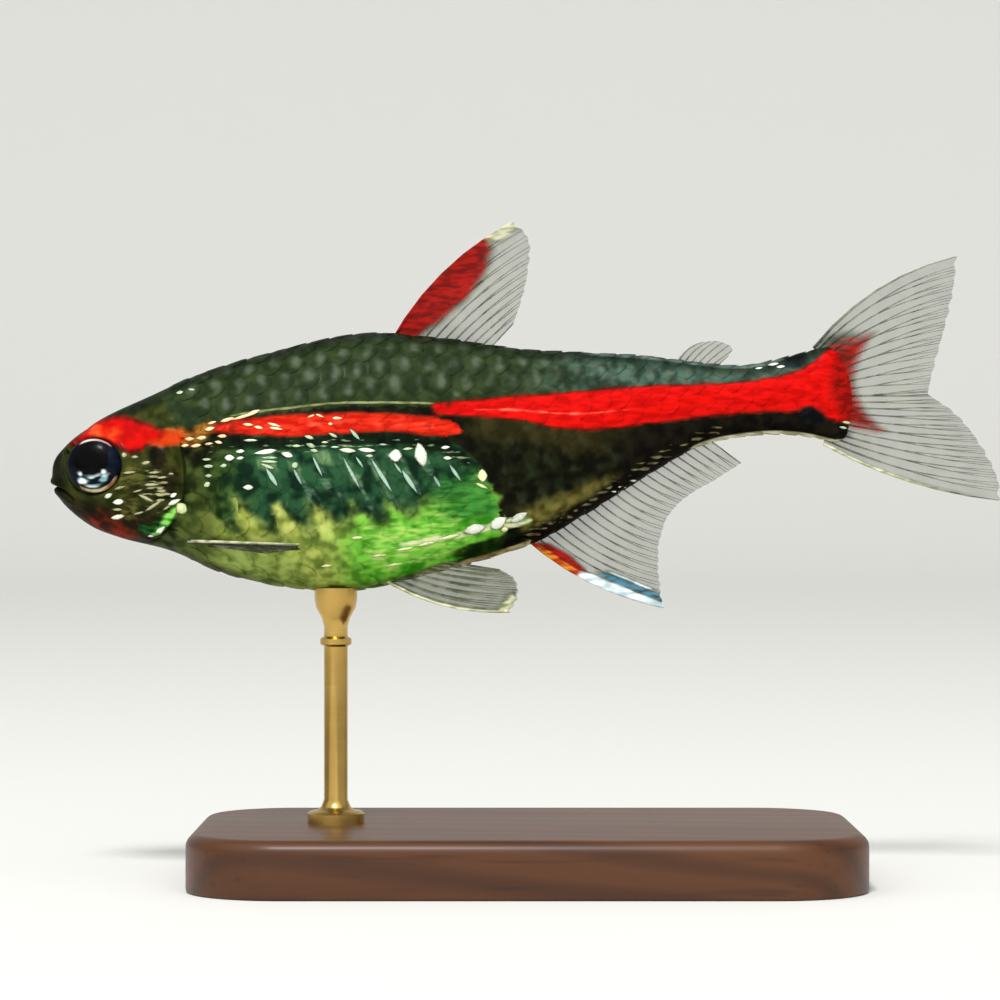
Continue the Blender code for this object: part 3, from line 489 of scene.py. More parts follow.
def stretch(value, start, full, fading, end):
    """A smooth stretch: 0 up to start, 1 from full to fading, 0 again from end on."""
    return rise(value, start, full) * rise(value, end, fading)


def hill(distance, width):
    """A smooth bump, 1 at distance 0."""
    return np.exp(-((distance / width) ** 2))


belly_height, back_height = split_at_tip(smooth_curve(BELLY[:0:-1] + BACK))
MIRRORED_WIDTH = [(s, -half) for s, half in HALF_WIDTH[:0:-1]] + HALF_WIDTH
_, half_width = split_at_tip(smooth_curve(MIRRORED_WIDTH))
front_top, front_bottom = height_reader(FRONT_STRIPE_TOP), height_reader(FRONT_STRIPE_BOTTOM)
rear_top, rear_bottom = height_reader(REAR_STRIPE_TOP), height_reader(REAR_STRIPE_BOTTOM)
gold_line, cavity_top = height_reader(GOLD_LINE), height_reader(CAVITY_TOP)
low_top, rear_gleam = height_reader(LOW_TOP), height_reader(REAR_GLEAM)


def skin_points(s, angle):
    """Points of the plain body, with angle 0 at the widest level of the right flank."""
    back, belly, half = back_height(s), belly_height(s), half_width(s)
    widest = belly + WIDEST_SHARE * (back - belly)
    upper = np.sin(angle) >= 0
    exponent = 2 / np.where(upper, UPPER_FULLNESS, LOWER_FULLNESS)
    reach = np.where(upper, back - widest, widest - belly)
    across = np.sign(np.cos(angle)) * np.abs(np.cos(angle)) ** exponent * half
    up = np.sign(np.sin(angle)) * np.abs(np.sin(angle)) ** exponent * reach
    return np.stack([s, across, widest + up], axis=-1)


def flank(s, h):
    """Half the body's thickness at a point of its side view."""
    back, belly, half = back_height(s), belly_height(s), half_width(s)
    widest = belly + WIDEST_SHARE * (back - belly)
    fullness = np.where(h >= widest, UPPER_FULLNESS, LOWER_FULLNESS)
    reach = np.where(h >= widest, back - widest, widest - belly)
    share = np.clip(np.abs(h - widest) / np.maximum(reach, 1e-6), 0.0, 1.0)
    return half * (1 - share**fullness) ** (1 / fullness)


# Mesh helpers

def to_world(points):
    """Fish-frame millimetres to world metres."""
    turned = np.array(FISH_TO_WORLD)
    return points @ turned[:3, :3].T + turned[:3, 3]


def read_points(mesh):
    points = np.empty(len(mesh.vertices) * 3)
    mesh.vertices.foreach_get("co", points)
    return points.reshape(-1, 3)


def write_points(mesh, points):
    mesh.vertices.foreach_set("co", np.ascontiguousarray(points, dtype=np.float32).ravel())
    mesh.update()


def read_normals(mesh):
    normals = np.empty(len(mesh.vertices) * 3)
    mesh.vertex_normals.foreach_get("vector", normals)
    return normals.reshape(-1, 3)


def mesh_from(bm, name):
    mesh = bpy.data.meshes.new(name)
    bm.to_mesh(mesh)
    bm.free()
    return mesh


def store(mesh, fields):
    """Writes one number or vector for each vertex under each name."""
    for name, values in fields.items():
        values = np.asarray(values, dtype=np.float32)
        if values.ndim == 2:
            attribute = mesh.attributes.new(name, "FLOAT_VECTOR", "POINT")
            attribute.data.foreach_set("vector", values.ravel())
        else:
            attribute = mesh.attributes.new(name, "FLOAT", "POINT")
            attribute.data.foreach_set("value", values)


def put_in_scene(name, data):
    """A new object in the scene that holds this data."""
    made = bpy.data.objects.new(name, data)
    bpy.context.scene.collection.objects.link(made)
    return made


def face_outwards(mesh, weld=True):
    """Turns every face outwards, once doubled points are merged."""
    bm = bmesh.new()
    bm.from_mesh(mesh)
    if weld:
        bmesh.ops.remove_doubles(bm, verts=bm.verts, dist=WELD)
    bmesh.ops.recalc_face_normals(bm, faces=bm.faces)
    bm.to_mesh(mesh)
    bm.free()


def round_lens(sides):
    """A ball of few faces, the template of the scales and the plates."""
    bm = bmesh.new()
    bmesh.ops.create_uvsphere(bm, u_segments=sides, v_segments=4, radius=1.0)
    return mesh_from(bm, "lens")


def copies(mesh, count):
    """One mesh that holds a template many times over, copy after copy."""
    row = put_in_scene("template", mesh)
    array = row.modifiers.new("copies", "ARRAY")
    array.count = count
    array.use_relative_offset = False
    joined = bpy.data.meshes.new_from_object(row.evaluated_get(bpy.context.evaluated_depsgraph_get()))
    bpy.data.objects.remove(row)
    return joined


def show(mesh, name, material, nodes=(), sharp_deg=None):
    """Puts a finished mesh in the scene as a piece of the model that stands for some nodes."""
    mesh.name = name
    mesh.shade_smooth()
    if sharp_deg:
        mesh.set_sharp_from_angle(angle=math.radians(sharp_deg))
    mesh.materials.append(material)
    piece = put_in_scene(name, mesh)
    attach(piece, "root")
    if nodes:
        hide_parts(*nodes)
    return piece


# Where each marking lies, from 0 where there is none of it to 1

def inside_outline(s, h, outline, soft=0.12):
    """A soft mask of a closed smooth outline, 0.5 on the outline itself."""
    looped = smooth_curve(outline[-2:] + outline + outline[:2], 10)[20:-20]
    value = np.full(s.shape, -2.0)
    low, high = looped.min(axis=0) - 5 * soft, looped.max(axis=0) + 5 * soft
    near = (s > low[0]) & (s < high[0]) & (h > low[1]) & (h < high[1])
    ps, ph = s[near, None], h[near, None]
    start, end = looped, np.roll(looped, -1, axis=0)
    gone = np.hypot(ps - start[:, 0], ph - start[:, 1]).min(axis=1)
    crosses = (start[:, 1] > ph) != (end[:, 1] > ph)
    rising = np.where(end[:, 1] == start[:, 1], 1.0, end[:, 1] - start[:, 1])
    at = start[:, 0] + (ph - start[:, 1]) / rising * (end[:, 0] - start[:, 0])
    inside = (crosses & (ps < at)).sum(axis=1) % 2 == 1
    value[near] = 0.5 + np.where(inside, gone, -gone) / (2 * soft)
    return np.clip(value, -2.0, 3.0)


def inside_band(s, h, low, high, start, end, soft=0.12):
    """A soft mask of a band between two heights and two stations."""
    depth = np.minimum(np.minimum(h - low(s), high(s) - h), np.minimum(s - start, end - s))
    return np.clip(0.5 + depth / (2 * soft), -2.0, 3.0)


def line_place(offset, width, cover):
    """A line as a place in half widths: the step aside from it, and 3 where it is left out."""
    return np.stack([offset / width, 3 * (1 - cover), np.zeros(offset.shape)], axis=-1)


def flecks(s, h, places):
    """Soft tilted ellipses, 1 at their centres and 0 from their edges on."""
    value = np.zeros(s.shape)
    for centre_s, centre_h, half_length, half_height, tilt_deg in places:
        turn = math.radians(tilt_deg)
        ds, dh = s - centre_s, h - centre_h
        along = (ds * math.cos(turn) + dh * math.sin(turn)) / half_length
        across = (-ds * math.sin(turn) + dh * math.cos(turn)) / half_height
        value = np.maximum(value, 1.0 - along**2 - across**2)
    return value


def gill_distance(s, h):
    """How far in front of the gill opening's edge a point lies; the edge turns forwards below."""
    rear = GILL_EDGE_RADIUS - np.hypot(s - GILL_EDGE_CENTRE[0], h - GILL_EDGE_CENTRE[1])
    slope = ((h - GILL_CORNER[1]) - (s - GILL_CORNER[0])) / math.sqrt(2)
    foot = (h - GILL_FOOT) + 4 * rise(s, 3.6, 3.0)
    nearest = np.minimum(np.minimum(rear, slope), foot)
    spread = sum(np.exp(-(side - nearest) / GILL_ROUNDING) for side in (rear, slope, foot))
    return nearest - GILL_ROUNDING * np.log(spread)


def fan_end(h):
    """Where the red of the tail ends, further back towards both lobes."""
    middle_s, bend, middle_h = TAIL_RED_END
    return middle_s + bend * (h - middle_h) ** 2


def tail_bulge(h):
    """The rounded end of the tail stalk: 1 in its middle and 0 at its corners."""
    top, bottom = back_height(BODY_LENGTH), belly_height(BODY_LENGTH)
    share = (h - (top + bottom) / 2) / ((top - bottom) / 2)
    return np.sqrt(np.clip(1 - share**2, 0.0, 1.0))


def eye_distance(s, h):
    return np.hypot(s - EYE_CENTRE[0], h - EYE_CENTRE[1])


def waves(place, crest, period, sharpness=1.0):
    """Even ridges, 1 on each crest."""
    return (0.5 + 0.5 * np.cos(2 * np.pi * (place - crest) / period)) ** sharpness


def back_edge(s, below_gold=0.0):
    """The lower edge of the dark back: the gold line or a step below it, then the rear stripe's top."""
    return np.where(s < BACK_EDGE_STEP, gold_line(s) - below_gold, rear_top(s))


def back_markings(s, h):
    below_back = back_height(s) - h
    return {
        "crest": rise(below_back, 0.8, 0.0),
        "stalk_back": rise(s, 17.0, 26.5),
        # Painted highlight: a pale line along the top edge of the tail stalk's back
        "top_edge_highlight": line_place(below_back - 0.05, 0.14, stretch(s, 18.5, 24.5, 30.6, 32.6)),
    }


def flank_markings(s, h, behind_head):
    """Below the stripes and behind the belly, with the fields that ridges run across."""
    above_belly = h - belly_height(s)
    rear_low = rear_bottom(s) - h
    under_line = rise(back_edge(s, below_gold=0.12) - h, -0.05, 0.1)
    keel = stretch(s, 18.3, 19.3, 27.0, 30.0)
    return {
        "chevron": s - 0.5 * np.abs(h - 0.2),
        "slant": s + 0.45 * h,
        "level": h + 0.1 * s,
        "lower_flank": under_line * behind_head,
        "muscle": under_line * rise(s, 17.5, 19.5),
        "flank_brown": under_line * stretch(s, 17.0, 18.6, 22.0, 26.0) * rise(rear_low, 1.7, 0.2),
        "low_gold": rise(above_belly, 0.4, 0.8) * rise(above_belly + 0.2 * (s - 19.5), 2.2, 1.1)
        * stretch(s, 18.8, 20.2, 22.5, 27.5),
        "keel": rise(above_belly, 0.66, 0.36) * keel,
        "keel_lines": hill(above_belly - 0.4, 0.26) * keel,
        "stalk_dark": rise(s, 22.0, 26.0) * rise(rear_low, -0.1, 0.3),
        "belly_line": line_place(above_belly - 0.04, 0.12, stretch(s, 25.5, 27.5, 33.4, 34.3)),
        "shoulder": behind_head * rise(s, 8.0, 6.0) * under_line * rise(h, -5.0, -3.4),
        "humeral": behind_head * flecks(s, h, HUMERAL_SPOT),
        "fin_shade": line_place(
            h + 3.42 + 0.14 * (s - 5.45), 0.1, stretch(s, 5.8, 6.4, 10.0, 10.7)
        ),
    }


def cavity_markings(s, h, behind_head):
    """Over the body cavity, whose silvery lining shows green through the thin flank."""
    above_belly = h - belly_height(s)
    above_low = h - low_top(s)
    depth = cavity_top(s) - h
    slant = s + 0.45 * h
    cavity = inside_band(s, h, lambda at: belly_height(at) - 1, cavity_top, *CAVITY_ENDS, 0.2)
    cavity = np.clip(cavity, 0, 1) * behind_head
    teeth = waves(slant, 6.94, 1.5, 1.8) * (1.2 - 0.5 * rise(s, 9.0, 13.0)) * rise(s, 17.0, 14.0)
    low = cavity * rise(low_top(s) + teeth - h, -0.9, 0.8)
    return {
        "cavity": cavity,
        "cavity_front": cavity * rise(s, 9.6, 6.4) * rise(h, -3.4, -1.9),
        "cavity_shade": cavity * hill(depth - 0.2, 0.36 + 0.1 * rise(s, 11.0, 13.5)),
        "ribs": cavity * rise(depth, 0.5, 0.95)
        * rise(above_low, 0.2, 1.1) * stretch(s, 7.4, 11.5, 16.4, 17.8),
        "low": low,
        "flames": low * (waves(slant, 6.9, 1.5, 2) + 0.3) * stretch(s, 6.2, 7.4, 12.5, 14.5)
        * rise(above_low, -1.2, 0.2),
        "low_green": low * rise(s, 10.4, 13.4),
        "low_glow": low * stretch(s, 11.6, 13.6, 16.4, 18.4) * rise(above_belly, 0.25, 0.8),
        "grey_belly": low * rise(above_belly, 1.9, 0.8) * rise(s, 11.2, 8.4),
        "rear_green": cavity * rise(s, 14.6, 17.2) * stretch(h, -4.2, -3.2, -2.4, -1.0),
        "belly_dark": cavity * rise(above_belly, 0.75, 0.0) * rise(s, 9.6, 6.0),
        "belly_edge": rise(above_belly, 0.5, 0.1) * cavity * rise(s, 19.0, 15.0),
        "rear_belly": rise(above_belly, 1.0, 0.62) * stretch(s, 15.4, 17.6, 19.0, 20.0),
        "tan_keel": line_place(above_belly - 0.08, 0.18, stretch(s, 13.8, 15.5, 19.6, 20.4)),
        "gleam": line_place(
            h - rear_gleam(s), 0.13 + 0.12 * rise(s, 15.5, 18.0), stretch(s, 13.0, 14.5, 19.6, 20.6)
        ),
        "plate_glow": cavity * flecks(s, h, PLATE_GLOW),
        "spark_row": cavity * hill(depth - 0.45, 0.42) * rise(s, 6.4, 7.2),
    }


def head_markings(s, y, h, gill):
    """On the head, up to the gill opening's edge, and the red cap that runs on over the nape."""
    head = 1 - rise(gill, GILL_SOFTNESS, -GILL_SOFTNESS)
    return {
        "head": head,
        "crown": head * rise(h - 0.28 * s, 0.9, 1.4),
        "jaw": head * rise(h + 0.25 * s, -0.3, -1.3),
        "snout": head * rise(s, 1.1, 0.2),
        "gill_rim": hill(gill - 0.05, 0.08) * rise(h, 1.2, 0.5),
        "red_cap": inside_outline(s, h, RED_CAP, 0.22) * rise(y, 0.04, 0.3),
        "chin_red": inside_outline(s, h, CHIN_RED, 0.4),
        "gill_green": head * inside_outline(s, h, GILL_GREEN, 0.16),
        **{name: head * flecks(s, h, places) for name, places in HEAD_PATCHES.items()},
    }


def stripe_markings(s, h):
    """Both red stripes and the painted highlights along them, the tail's red and dark ends, and the gold
    line over the front stripe.
    """
    in_front_stripe = h - (front_top(s) + front_bottom(s)) / 2
    start, end = FRONT_STRIPE_ENDS
    rounded_end = end - 3.0 * in_front_stripe**2
    return {
        "front_stripe": inside_band(s, h, front_bottom, front_top, start, rounded_end, 0.14)
        * (0.55 + 0.45 * rise(s, 7.0, 10.5)),
        # Painted highlight: lighter red along the middle of the front stripe
        "front_stripe_highlight": hill(in_front_stripe, 0.2) * stretch(s, 6.5, 9.0, 16.4, 17.2),
        "rear_stripe": inside_band(s, h, rear_bottom, rear_top, REAR_STRIPE_START, fan_end(h), 0.2),
        # Painted highlight: a lighter streak along the rear stripe, a little below its middle
        "rear_stripe_highlight": line_place(
            h - 0.58 * rear_bottom(s) - 0.42 * rear_top(s), 0.09,
            stretch(s, 17.0, 18.4, 22.0, 30.0),
        ),
        "fan_dark": rise(s - fan_end(h), -1.7, -0.3),
        "gold_line": line_place(h - gold_line(s), 0.065, stretch(s, 7.0, 8.2, 16.2, 16.9)),
    }


def body_markings(points, foremost=math.inf):
    """Every marking of the body at these points, none of them read further ahead than foremost
    millimetres in front of the gill opening's edge."""
    s, y, h = points[:, 0], np.abs(points[:, 1]), points[:, 2]
    gill = np.minimum(gill_distance(s, h), foremost)
    behind_head = rise(gill, GILL_SOFTNESS, -GILL_SOFTNESS)
    return {
        "fish": points,
        "scale_spot": np.full((len(s), 3), 9.0),
        **{name: flecks(s, h, places) for name, places in OPEN_PATCHES.items()},
        **back_markings(s, h),
        **flank_markings(s, h, behind_head),
        **cavity_markings(s, h, behind_head),
        **head_markings(s, y, h, gill),
        **stripe_markings(s, h),
    }


# Paint as layers: marking, pattern that breaks its edge and by how much, edge from and to, cover,
# pattern of its tones, darker and lighter tone, how metallic
BODY_PAINT = [
    ("stalk_back", "mottle", 0.3, 0.2, 0.9, 0.9, "mottle", "#22362c", "#4c6657", 0.0),
    ("scale_spot", "mottle", 0.45, 0.0, 1.0, 0.65, "mottle", "#3e4838", "#606a5a", 0.0),
    ("crest", "mottle", 0.3, 0.1, 1.0, 0.8, "mottle", "#0a1008", "#172212", 0.0),
    # Painted highlight along the back's top edge
    ("top_edge_highlight", "streaks", 0.3, 0.1, 1.0, 0.5, "mottle", "#4a6058", "#86a094", 0.2),
    ("lower_flank", "mottle", 0.15, 0.3, 0.7, 1.0, "mottle", "#070902", "#1b1d09", 0.0),
    ("muscle", "muscle_waves", 0.4, 0.7, 1.5, 0.4, "mottle", "#1d2a20", "#2c3a2c", 0.0),
    ("flank_brown", "mottle", 0.2, 0.1, 1.0, 0.75, "mottle", "#2a260c", "#393216", 0.0),
    ("low_gold", "mottle", 0.2, 0.1, 1.0, 0.85, "mottle", "#4a4416", "#857d3e", 0.1),
    ("stalk_dark", "mottle", 0.3, 0.3, 0.8, 0.9, "mottle", "#060402", "#171108", 0.0),
    ("keel", "streaks", 0.3, 0.3, 0.8, 0.92, "mottle", "#050301", "#120d04", 0.0),
    ("keel_lines", "fine_lines", 0.5, 0.6, 1.1, 0.65, "mottle", "#5c5832", "#aaa47c", 0.1),
    ("belly_line", "mottle", 0.1, 0.1, 0.7, 0.9, "streaks", "#a0a076", "#e6e6c8", 0.2),
    ("cavity", "mottle", 0.2, 0.2, 0.8, 1.0, "mottle", "#0b2516", "#2a5434", 0.0),
    ("cavity_front", "mottle", 0.5, 0.1, 1.0, 0.9, "mottle", "#142507", "#3c5522", 0.0),
    ("ribs", "rib_waves", 0.5, 0.7, 1.5, 0.42, "dashes", "#24503a", "#7ea284", 0.0),
    ("cavity_shade", "streaks", 0.35, 0.05, 0.75, 0.94, "mottle", "#040803", "#0e180a", 0.0),
    ("low", "mottle", 0.3, 0.0, 1.1, 0.95, "mottle", "#6c8432", "#b9c860", 0.0),
    ("flames", "fibres", 0.4, 0.2, 1.1, 0.8, "mottle", "#a3b04a", "#d9e07c", 0.0),
    ("low_green", "mottle", 0.4, 0.1, 1.0, 1.0, "mottle", "#2c8a12", "#7ed044", 0.05),
    ("low_glow", "streaks", 0.6, 0.5, 1.2, 0.8, "streaks", "#6ccf3a", "#c4ee76", 0.1),
    ("rear_green", "mottle", 0.5, 0.1, 1.0, 0.85, "streaks", "#1a5a1e", "#3f8c38", 0.0),
    ("grey_belly", "mottle", 0.5, 0.1, 1.0, 0.75, "mottle", "#5a6c28", "#8fa858", 0.05),
    ("belly_edge", "mottle", 0.3, 0.2, 0.9, 0.7, "mottle", "#36420f", "#5e6f26", 0.0),
    ("belly_dark", "mottle", 0.4, 0.1, 1.0, 0.75, "mottle", "#221c05", "#4a4614", 0.0),
    ("rear_belly", "streaks", 0.3, 0.25, 0.8, 0.95, "mottle", "#030703", "#0e1808", 0.0),
    ("tan_keel", "streaks", 0.2, 0.2, 0.7, 0.95, "mottle", "#7c6c38", "#cfc28c", 0.1),
    ("gleam", "streaks", 0.9, 0.0, 0.8, 0.9, "streaks", "#8fbf5a", "#f6f8cc", 0.1),
    ("fin_shade", "mottle", 0.1, 0.1, 0.6, 0.9, "mottle", "#060a02", "#141c08", 0.0),
    ("shoulder", "mottle", 0.4, 0.2, 1.0, 0.85, "mottle", "#1a2407", "#445122", 0.0),
    ("humeral", "streaks", 0.5, 0.1, 0.9, 0.9, "mottle", "#060802", "#18190a", 0.0),
    ("plate_glow", "fibres", 0.5, 0.1, 1.0, 0.6, "mottle", "#35603c", "#84a672", 0.0),
    ("spark_row", "fine_lines", 0.5, 0.9, 1.4, 0.6, "mottle", "#5f8458", "#b4d09a", 0.1),
    ("head", "mottle", 0.1, 0.4, 0.6, 1.0, "mottle", "#1f2605", "#3b3f16", 0.0),
    ("crown", "mottle", 0.3, 0.1, 1.0, 0.95, "mottle", "#060d04", "#17210f", 0.0),
    ("jaw", "mottle", 0.4, 0.1, 1.0, 0.92, "mottle", "#0f0900", "#251b05", 0.0),
    ("cheek_gold", "mottle", 0.5, 0.1, 1.0, 0.8, "streaks", "#3a390e", "#77753a", 0.0),
    ("gill_plate", "mottle", 0.6, 0.2, 1.1, 0.8, "streaks", "#0c1204", "#2c3010", 0.0),
    ("cheek_brown", "streaks", 0.5, 0.2, 1.0, 0.85, "mottle", "#0d0903", "#2a1a0c", 0.0),
    ("gill_lines", "fine_gaps", 0.5, 0.3, 0.9, 0.9, "mottle", "#020301", "#0a0c03", 0.0),
    ("fleck_glow", "streaks", 0.3, 0.1, 1.0, 0.5, "mottle", "#4c4f26", "#74784a", 0.0),
    ("gill_lines", "fine_lines", 0.5, 0.6, 1.2, 0.85, "mottle", "#6c6a34", "#c4c590", 0.1),
    ("snout", "mottle", 0.3, 0.1, 0.9, 0.88, "mottle", "#040701", "#131507", 0.0),
    ("chin_red", "mottle", 0.5, 0.1, 1.0, 0.9, "mottle", "#340c02", "#861f06", 0.0),
    ("cheek_dark", "mottle", 0.3, 0.0, 0.7, 0.85, "mottle", "#0b0a04", "#1c180b", 0.0),
    ("orange_nape", "mottle", 0.5, 0.1, 1.0, 0.9, "streaks", "#7a3a08", "#b8782c", 0.05),
    ("red_cap", "mottle", 0.2, 0.15, 0.6, 0.95, "mottle", "#4a0606", "#7a0c06", 0.0),
    ("nape_red", "mottle", 0.4, 0.0, 0.7, 0.92, "mottle", "#9a1a04", "#cc3a0c", 0.0),
    ("red_cap", "mottle", 0.15, 0.5, 1.0, 1.0, "mottle", "#aa0300", "#d00b04", 0.0),
    ("cap_glow", "mottle", 0.4, 0.2, 1.1, 0.65, "mottle", "#e4260a", "#f5702c", 0.0),
    ("gill_green", "streaks", 0.4, 0.2, 0.8, 0.95, "streaks", "#051c08", "#17561a", 0.0),
    ("green_glow", "streaks", 0.4, 0.0, 0.8, 0.92, "streaks", "#3aa022", "#9ae468", 0.05),
    ("gill_rim", "mottle", 0.3, 0.3, 0.8, 0.7, "mottle", "#040602", "#0e1004", 0.0),
    ("front_stripe", "streaks", 0.3, 0.2, 0.55, 0.9, "mottle", "#6a1206", "#962210", 0.0),
    ("front_stripe", "streaks", 0.25, 0.4, 0.9, 1.0, "streaks", "#b91404", "#dc2c14", 0.0),
    # Painted highlight along the front stripe's middle
    ("front_stripe_highlight", "streaks", 0.7, 0.5, 1.3, 0.5, "mottle", "#e8301a", "#f06a4c", 0.0),
    ("rear_stripe", "streaks", 0.3, 0.15, 0.5, 0.9, "mottle", "#4e0c03", "#7e1608", 0.0),
    ("rear_stripe", "streaks", 0.15, 0.4, 0.75, 1.0, "streaks", "#ba0401", "#d90d07", 0.0),
    # Painted highlight along the rear stripe
    ("rear_stripe_highlight", "streaks", 0.9, 0.2, 1.2, 0.6, "mottle", "#f0341e", "#f8826c", 0.0),
    ("fan_dark", "streaks", 0.3, 0.2, 0.9, 0.8, "streaks", "#5e0a04", "#9c1208", 0.0),
    ("tail_spots", "mottle", 0.3, 0.1, 0.7, 0.9, "mottle", "#030507", "#0c151b", 0.0),
    # Painted shade along every scale's edge, with the back's dark net
    ("scale_rim_net_and_shade", "mottle", 0.4, 0.1, 1.2, 0.5, "mottle", "#070b05", "#141c0e", 0.0),
    ("gold_line", "streaks", 0.3, 0.0, 0.7, 0.75, "streaks", "#5c6436", "#a3a672", 0.1),
]
EYE_PAINT = [
    ("eye_navy", "mottle", 0.2, 0.1, 0.9, 0.9, "mottle", "#070b16", "#141c30", 0.0),
    ("pupil", "mottle", 0.05, 0.2, 0.8, 1.0, "mottle", "#000000", "#010102", 0.0),
    ("iris_gold", "mottle", 0.3, 0.2, 0.9, 0.9, "mottle", "#8f7448", "#ded0a4", 0.2),
    ("iris_rose", "mottle", 0.3, 0.2, 0.9, 0.8, "mottle", "#8f4a38", "#c98a68", 0.1),
    ("iris_gleam", "streaks", 0.4, 0.1, 0.9, 0.95, "streaks", "#6aa9b6", "#f0fffa", 0.2),
    # Painted reflection: a pale pink arc along the eye's top edge
    ("eye_top_reflection", "mottle", 0.3, 0.2, 0.9, 0.85, "mottle", "#a86a62", "#f0d4cc", 0.1),
    ("eye_edge", "mottle", 0.1, 0.3, 0.7, 0.9, "mottle", "#040302", "#0c0805", 0.0),
]
FIN_PAINT = [
    ("fin_dusk", "streaks", 0.4, 0.2, 0.9, 0.8, "mottle", "#1c2112", "#33391f", 0.0),
    ("tail_red", "streaks", 0.45, 0.1, 0.5, 0.95, "streaks", "#5e0a04", "#9c1208", 0.0),
    ("fin_red", "streaks", 0.3, 0.2, 0.9, 0.97, "streaks", "#6c0706", "#a3110c", 0.0),
    ("fin_orange", "streaks", 0.4, 0.3, 0.9, 0.95, "streaks", "#b03408", "#e0942a", 0.0),
    ("fin_blue", "streaks", 0.4, 0.3, 0.9, 0.95, "streaks", "#0e2c3c", "#4f8ca8", 0.1),
    ("fin_white", "streaks", 0.2, 0.3, 0.8, 0.97, "streaks", "#b4ccd2", "#f5ffff", 0.1),
    # Pale tips and edges, and on the pectoral fin a painted highlight along its front ray
    ("fin_pale_and_highlight", "streaks", 0.3, 0.2, 0.9, 0.9, "streaks", "#a2a57c", "#e4e4c0", 0.1),
    # Painted shadow band across the pectoral fin
    ("fin_shadow_band", "mottle", 0.1, 0.3, 0.8, 0.95, "mottle", "#0c0e06", "#1c200e", 0.0),
]

# Noise patterns: size in millimetres, detail, stretch, turn in degrees
PATTERNS = {
    "mottle": (0.6, 1.5, (1.0, 1.0, 1.0), 0.0),
    "fine": (0.16, 1.5, (1.0, 1.0, 1.0), 0.0),
    "streaks": (0.2, 1.2, (3.6, 1.5, 1.0), 4.0),
    "fibres": (0.3, 1.2, (1.0, 1.5, 3.6), -24.0),
    "dashes": (0.24, 1.0, (2.4, 1.5, 0.8), 0.0),
}
# Broken ridges: the field they run across, their spacing, the place of a crest, what breaks them
RIDGES = {
    "rib_waves": ("slant", 1.06, 12.1, "fibres"),
    "muscle_waves": ("chevron", 0.95, 0.0, "mottle"),
    "fine_lines": ("level", 0.25, 0.0, "dashes"),
    "fine_gaps": ("level", 0.25, 0.125, "dashes"),
}
# Markings kept as a place in half widths, full at 0 and gone at 1
LINES = (
    "scale_spot", "gold_line", "rear_stripe_highlight", "gleam", "tan_keel", "belly_line", "top_edge_highlight",
    "fin_shade",
)


# Materials

def colour(code):
    """An sRGB hex value as linear RGBA."""
    channels = [int(code[i : i + 2], 16) / 255 for i in (1, 3, 5)]
    return (*[c / 12.92 if c <= 0.04045 else ((c + 0.055) / 1.055) ** 2.4 for c in channels], 1.0)


def fill(tree, node, inputs):
    """Links or sets some of a node's inputs."""
    for name, value in inputs.items():
        if isinstance(value, bpy.types.NodeSocket):
            tree.links.new(value, node.inputs[name])
        else:
            node.inputs[name].default_value = value


def add(tree, kind, inputs=None, out=0, **settings):
    """Adds a node with its settings, links or sets its inputs, and gives one of its outputs."""
    node = tree.nodes.new(kind)
    for name, value in settings.items():
        setattr(node, name, value)
    fill(tree, node, inputs or {})
    return node.outputs[out]


def new_material(name):
    """A material with a bare Principled shader: the material, its tree and the shader node."""
    material = bpy.data.materials.new(name)
    material.use_nodes = True
    return material, material.node_tree, material.node_tree.nodes["Principled BSDF"]


def read_marking(tree, name):
    """A marking's share at each point, 1 where it is full."""
    if name not in LINES:
        return add(tree, "ShaderNodeAttribute", out=2, attribute_name=name)
    place = add(tree, "ShaderNodeAttribute", out=1, attribute_name=name)
    away = add(tree, "ShaderNodeVectorMath", {0: place}, 1, operation="LENGTH")
    return add(tree, "ShaderNodeMath", {0: 1.0, 1: away}, operation="SUBTRACT")


def skin_patterns(tree):
    """The patterns that break up the markings and the same patterns spread out to full tones."""
    where = add(tree, "ShaderNodeAttribute", out=1, attribute_name="fish")
    patterns, tones = {}, {}
    for name, (size, detail, stretch, turn_deg) in PATTERNS.items():
        laid = add(
            tree, "ShaderNodeMapping",
            {"Vector": where, "Rotation": (0.0, math.radians(turn_deg), 0.0), "Scale": stretch},
            vector_type="TEXTURE",
        )
        noise = {"Vector": laid, "Scale": 1 / size, "Detail": detail, "Roughness": 0.55}
        patterns[name] = add(tree, "ShaderNodeTexNoise", noise)
        spread = {"Value": patterns[name], "From Min": 0.34, "From Max": 0.66}
        tones[name] = add(tree, "ShaderNodeMapRange", spread, interpolation_type="SMOOTHSTEP")
    for name, (field, spacing, crest, broken_by) in RIDGES.items():
        across = add(tree, "ShaderNodeAttribute", out=2, attribute_name=field)
        bend = 0.45 * spacing
        bent = add(
            tree, "ShaderNodeMath", {0: patterns["mottle"], 1: bend, 2: across},
            operation="MULTIPLY_ADD",
        )
        turns = add(tree, "ShaderNodeMath", {0: bent, 1: crest + bend / 2}, operation="SUBTRACT")
        angle = add(tree, "ShaderNodeMath", {0: turns, 1: 2 * math.pi / spacing}, operation="MULTIPLY")
        wave = add(tree, "ShaderNodeMath", {0: angle}, operation="COSINE")
        ridge = add(tree, "ShaderNodeMath", {0: wave, 1: 0.5, 2: 0.5}, operation="MULTIPLY_ADD")
        patterns[name] = add(
            tree, "ShaderNodeMath", {0: ridge, 1: tones[broken_by]}, operation="MULTIPLY"
        )
    return patterns, tones


